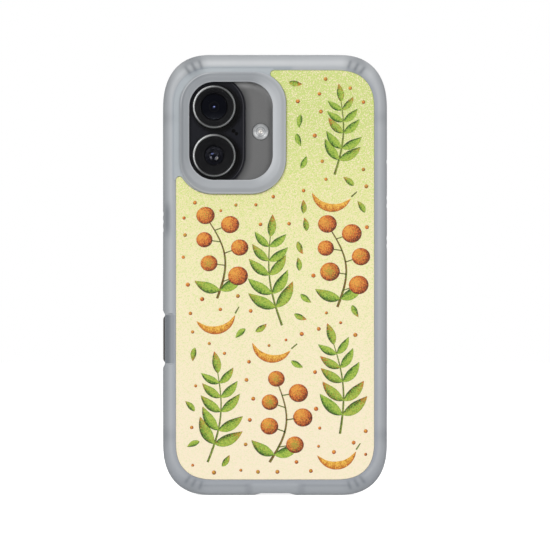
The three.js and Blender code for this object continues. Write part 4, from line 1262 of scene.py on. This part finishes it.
def scatter(inks, chance):
    """Fills what is left bare with single leaves and seeds, clear of the motifs and the edge."""
    edge = panel_outline(FIT_GAP)
    taken = [(x, z) for sheet in inks.values() for x, _, z in sheet.points] + along_edge(edge)
    strewn = []
    for _ in range(SCATTER_TRIES):
        spot = (chance.uniform(-34, 34), chance.uniform(6, 149))
        turn = chance.uniform(0, 2 * math.pi)
        if not inside(spot, edge):
            continue
        if any(math.dist(spot, other) < SCATTER_SPACING for other in strewn):
            continue
        room = min(math.dist(spot, other) for other in taken)
        if room > LEAF_ROOM:
            leaf(inks["leaf"], turned((-2.4, 0), turn, spot), turn, 4.8, 2.0, 0.2, chance.uniform(0, 0.6))
        elif room > SEED_ROOM:
            disc_ink(inks["fruit"], spot, chance.uniform(0.5, 0.75), 1.0, 0.0, chance.uniform(0.1, 0.8))
        if room > SEED_ROOM:
            strewn.append(spot)


def along_edge(outline, spacing=1.0):
    """Points all round an outline, close enough together to measure from."""
    result = []
    for first, second in zip(outline, outline[1:] + outline[:1]):
        count = max(1, round(math.dist(first, second) / spacing))
        result += [between(first, second, step / count) for step in range(count)]
    return result


def inside(spot, outline):
    crossings = 0
    for first, second in zip(outline, outline[1:] + outline[:1]):
        if (first[1] > spot[1]) != (second[1] > spot[1]):
            part = (spot[1] - first[1]) / (second[1] - first[1])
            crossings += spot[0] < between(first[0], second[0], part)
    return crossings % 2 == 1


def printed_pattern():
    """An all-over pattern of sprigs, berries and pods, in three columns that drop by half."""
    chance = random.Random(RANDOM_SEED)
    inks = {
        "stem": Sheet("print_stems", 0.02),
        "leaf": Sheet("print_leaves", 0.035),
        "pod": Sheet("print_pods", 0.045),
        "fruit": Sheet("print_fruits", 0.05),
    }
    for x, z, angle, size in SPRIGS:
        sprig(inks, (x, z), angle, size, chance)
    for x, z, angle, size in BERRIES:
        berry_branch(inks, (x, z), angle, size, chance)
    for x, z, angle in PODS:
        seed_pod(inks, (x, z), angle, POD_SIZE)
    scatter(inks, chance)
    for name, sheet in inks.items():
        sheet.finish(INKS[name])


# ---------------------------------------------------------------- cameras and flash

def camera_island():
    """The black glass block with its rounded edge, the lens holes and the microphone holes."""
    top, shoulder = ISLAND_BACK_Y, ISLAND_SHOULDER_Y
    levels = [(0.0, PHONE_BACK_Y), (0.0, shoulder + 0.14), (0.04, shoulder + 0.04), (0.14, shoulder)]
    levels += [(0.5, shoulder), (0.54, shoulder - 0.06), (0.62, top + 0.2), (0.95, top)]
    rows = [placed(round_outline(grown(ISLAND, -inset), 40), y) for inset, y in levels]
    piece = made("camera_island_glass", *skin(rows), 12)
    for z in LENSES.values():
        cut(piece, circle((ISLAND_X, z), LENS_HOLE_RADIUS), top - 5, PHONE_BACK_Y + 5)
    for x, z, radius in MIC_HOLES:
        cut(piece, circle((x, z), radius, 24), top - 1, top + 1.2)
    tidy_mesh(piece, 12)
    stands_for(piece, "island_glass", "camera_island")


def lens_ring(place, z):
    """A turned ring with rounded lips and the ledge that carries the glass."""
    back, lip, edge = LENS_RING_BACK_Y, LENS_RING_LIP, quarter_round(5)
    profile = [
        (LENS_RING_RADIUS, ISLAND_BACK_Y),
        *((LENS_RING_RADIUS - lip * inset, back + lip * (1 - rise)) for inset, rise in edge),
        *((LENS_RING_BORE + lip * (1 - rise), back + lip * inset) for inset, rise in edge),
        (LENS_RING_BORE, LENS_LEDGE_Y),
        (LENS_LEDGE_BORE, LENS_LEDGE_Y),
        (LENS_LEDGE_BORE, ISLAND_BACK_Y),
    ]
    piece = made(f"{place}_lens_metal", *lathe(profile, ISLAND_X, z, 128))
    stands_for(piece, "lens_metal", f"{place}_lens_ring")


def lens_glass(place, z):
    """The cover glass, on a black border ring that hides the ledge."""
    back, front = LENS_LEDGE_Y - LENS_GLASS_DEPTH, LENS_LEDGE_Y - 0.1
    bore, rim = LENS_PUPILS[place] + 0.15, LENS_RING_BORE - 0.02
    border = [(bore, 0.09), (bore, 0.03), (bore + 0.05, 0.01), (rim, 0.01), (rim, 0.09)]
    border = [(radius, front + depth) for radius, depth in border]
    ring = made(f"{place}_glass_border", *lathe(border, ISLAND_X, z), 30)
    stands_for(ring, "black_plastic", finish=LENS_BLACK)
    profile = [
        (0, back), (LENS_GLASS_RADIUS - 0.15, back), (LENS_GLASS_RADIUS, back + 0.15),
        (LENS_GLASS_RADIUS, front), (0, front),
    ]
    piece = made(f"{place}_cover_glass", *lathe(profile, ISLAND_X, z))
    piece.visible_shadow = False
    stands_for(piece, "lens_glass", f"{place}_lens_glass")


def lens_optics(place, z):
    """The camera behind the glass: a stepped black barrel with a coated lens in it."""
    back = LENS_LEDGE_Y + FIT_GAP
    mouth_y = back + 0.15
    pupil = LENS_PUPILS[place]
    profile = [(BARREL_RADIUS, back), (BARREL_RADIUS - 0.4, back), (BARREL_MOUTH, mouth_y)]
    for step in range(1, BARREL_STEPS + 1):
        radius = BARREL_MOUTH - (BARREL_MOUTH - pupil) * step / BARREL_STEPS
        depth = mouth_y + BARREL_STEP_DEPTH * step
        profile += [(radius + 0.1, depth - 0.2), (radius, depth)]
    floor_y = mouth_y + BARREL_STEP_DEPTH * BARREL_STEPS
    profile += [(pupil - 0.1, floor_y + 0.3), (0, floor_y + 0.3)]
    profile += [(0, BARREL_FRONT_Y), (BARREL_RADIUS, BARREL_FRONT_Y)]
    module = round_outline(rounded(ISLAND_X, z, MODULE_HALF, MODULE_HALF, 0.8))
    barrel = merged(lathe(profile, ISLAND_X, z), bar(module, BARREL_FRONT_Y, MODULE_FRONT_Y))
    piece = made(f"{place}_camera_barrel", *barrel, 30)
    stands_for(piece, "black_plastic", f"{place}_camera_module", finish=LENS_BLACK)
    curve, crown = INNER_LENSES[place]
    dome = curved(pupil - 0.25, curve, floor_y + crown, floor_y + 0.28)
    piece = made(f"{place}_inner_lens", *lathe(dome, ISLAND_X, z), 50)
    stands_for(piece, "lens_glass", finish=LENS_COATS[place])
    iris = [(0, -0.62), (0.2, -0.62), (0.25, -0.55), (0.25, -0.4), (0, -0.4)]
    iris = [(IRIS_BORES[place] + out, floor_y + depth) for out, depth in iris]
    piece = made(f"{place}_iris_ring", *lathe(iris, ISLAND_X, z, 64), 50)
    stands_for(piece, "black_plastic", finish=LENS_BLACK)
    for name, (lens, across, up, reach, curve, coat) in PUPIL_DOMES.items():
        if lens == place:
            dome = curved(reach, curve, floor_y - 0.95, floor_y - 0.3)
            piece = made(name, *lathe(dome, ISLAND_X + across, z + up, 64), 50)
            stands_for(piece, "lens_glass", finish=PUPIL_COATS[coat])


def curved(reach, radius, crown, base, steps=16):
    """Profile of a round lens: a crown that bows out, or in for a negative radius, on a flat base."""
    line = []
    for step in range(steps + 1):
        out = reach * step / steps
        sag = abs(radius) - math.sqrt(radius ** 2 - out ** 2)
        line.append((out, crown + math.copysign(sag, radius)))
    return [*line, (reach, base), (0, base)]


def flash():
    """A pale lens with a dished middle and fine moulded rings."""
    back, front = PHONE_BACK_Y - 0.1, PHONE_BACK_Y + 1.2
    edge = FLASH_RADIUS + 0.2
    dish, groove = 0.5, 1.9 / 5
    profile = [(0, back + 0.12)]
    for ring in range(5):
        inner, outer = dish + groove * ring, dish + groove * (ring + 1)
        profile += [(inner, back + 0.1), (outer - 0.06, back + 0.04)]
    profile += [(2.5, back), (edge - 0.15, back + 0.01), (edge, back + 0.12), (edge, front), (0, front)]
    piece = made("flash_window", *lathe(profile, FLASH_X, FLASH_Z, 72), 20)
    stands_for(piece, "flash_lens", "flash_lens")


# ---------------------------------------------------------------- screen side

def front_glass():
    """Flat glass with a rounded edge and the earpiece slot at its top."""
    front, back = PHONE_FRONT_Y, PHONE_BACK_Y + 7.1
    gap, bevel, edge = 0.15, 0.5, 0.45
    levels = [(gap, back), (gap, front - edge)]
    levels += [(gap + bevel * inset, front - edge + edge * rise) for inset, rise in quarter_round(5)[1:]]
    levels.append((0.8, front))
    rows = [placed(soft_outline(grown(PHONE_OUTLINE, -inset)), y) for inset, y in levels]
    piece = made("screen", *skin(rows), 25)
    slot_z = PHONE_OUTLINE["high"] - 1.55
    cut(piece, round_outline(rounded(0, slot_z, 5.2, 0.34)), front - 0.3, front + 1)
    tidy_mesh(piece, 25)
    stands_for(piece, "screen_glass", "front_glass")
    count = 21
    places = [-4.6 + 9.2 * index / (count - 1) for index in range(count)]
    outlines = [round_outline(rounded(x, slot_z, 0.09, 0.26), 4) for x in places]
    posts = [bar(outline, front - 0.29, front - 0.12) for outline in outlines]
    stands_for(made("earpiece_grille", *merged(*posts)), "black_plastic")


# The CAD nodes that are kept as they are, by finish.
KEPT_NODES = {
    "rear_glass": "rear_glass",
    "frame_metal": "phone_frame side_key camera_control_key action_key volume_up_key volume_down_key",
    "screw_steel": "bottom_screw_left bottom_screw_right "
                   "board_screw_1 board_screw_2 board_screw_3 board_screw_4",
    "circuit_board": "flash_board logic_board",
    "display": "display_panel",
    "gasket": "display_gasket",
    "black_plastic": "front_camera_module earpiece_speaker bottom_speaker",
    "battery_wrap": "battery",
    "shield_metal": "board_shield vibration_motor lower_microphone",
    "copper": "charging_coil",
    "magnet": "magnet_ring",
    "port_metal": "usb_connector",
    "flex": "port_flex_cable left_button_flex right_button_flex",
}


def finish_nodes():
    for slot, names in KEPT_NODES.items():
        for name in names.split():
            for place in frame["nodes"][name].material_slots:
                place.material = FINISHES[slot]


# ---------------------------------------------------------------- studio

def floor():
    """A wide round pale floor with a faint grain."""
    segments = 64
    points, faces = [(0.0, 0.0, 0.0)], []
    for radius in (60.0, 400.0, 4000.0):
        start = len(points)
        points += placed(circle((0, 0), radius, segments), 0.0, "z")
        for i in range(segments):
            j = (i + 1) % segments
            inner = (0,) if start == 1 else (start - segments + j, start - segments + i)
            faces.append((start + i, start + j, *inner))
    piece = made("floor", points, faces)
    piece.visible_diffuse = False
    f = Finish("floor_paint", specular_ior_level=0.0, emission_color=(1.0, 1.0, 1.0), emission_strength=0.7)
    base = f.mix((0.93, 0.93, 0.93), (f.noise(60.0), (0.91, 0.91, 0.91)))
    piece.data.materials.append(f.finished(base, (0.8, 0.95, f.noise(20.0))))


def world():
    """White all round for the camera, softer as light, and darker in front and behind as a
    reflection, like the open room beyond a set of soft boxes."""
    settings = bpy.data.worlds.new("studio")
    settings.use_nodes = True
    tree = settings.node_tree
    tree.nodes.clear()
    path = added(tree, "LightPath", {}).outputs
    place = added(tree, "TexCoord", {}).outputs["Generated"]
    depth = abs(Field(added(tree, "SeparateXYZ", {0: place}).outputs["Y"]))
    limits = {"Value": depth, "From Min": 0.98, "From Max": 0.55, "To Min": 0.04, "To Max": 0.75}
    dim = added(tree, "MapRange", limits, interpolation_type="SMOOTHSTEP").outputs[0]
    seen, light, mirrored = (
        added(tree, "Background", {"Color": (1, 1, 1), "Strength": strength}).outputs[0]
        for strength in (1.0, DOME_LIGHT, dim)
    )
    unseen = added(tree, "MixShader", {0: path["Is Glossy Ray"], 1: light, 2: mirrored}).outputs[0]
    whole = added(tree, "MixShader", {0: path["Is Camera Ray"], 1: unseen, 2: seen}).outputs[0]
    added(tree, "OutputWorld", {"Surface": whole})
    bpy.context.scene.world = settings


def lights():
    """Round soft boxes, all aimed at the object's middle."""
    for name, place, size, power in LIGHTS:
        data = bpy.data.lights.new(name, "AREA")
        data.shape = "DISK"
        data.size = size * MM
        data.energy = power
        light = linked(name, data)
        light.location = Vector(place) * MM
        aim = Vector((0, 0, VIEW_CENTRE_Z * MM)) - light.location
        light.rotation_mode = "QUATERNION"
        light.rotation_quaternion = aim.to_track_quat("-Z", "Y")


def camera():
    data = bpy.data.cameras.new("camera")
    data.lens = CAMERA_LENS
    data.sensor_width = CAMERA_SENSOR
    data.clip_start = 0.01
    data.clip_end = 20.0
    piece = linked("camera", data)
    distance = VIEW_WIDTH * CAMERA_LENS / CAMERA_SENSOR
    piece.location = Vector((0, -distance, VIEW_CENTRE_Z)) * MM
    piece.rotation_euler = (QUARTER, 0, 0)
    bpy.context.scene.camera = piece


# ---------------------------------------------------------------- the scene

bpy.context.scene.view_settings.view_transform = "Standard"
camera()
world()
lights()
floor()

shell()
for button_name, button_facts in BUTTONS.items():
    button_cover(button_name, *button_facts)
control_strip()
back_panel()
printed_pattern()
camera_island()
for lens_place, lens_z in LENSES.items():
    lens_ring(lens_place, lens_z)
    lens_glass(lens_place, lens_z)
    lens_optics(lens_place, lens_z)
flash()
front_glass()
finish_nodes()
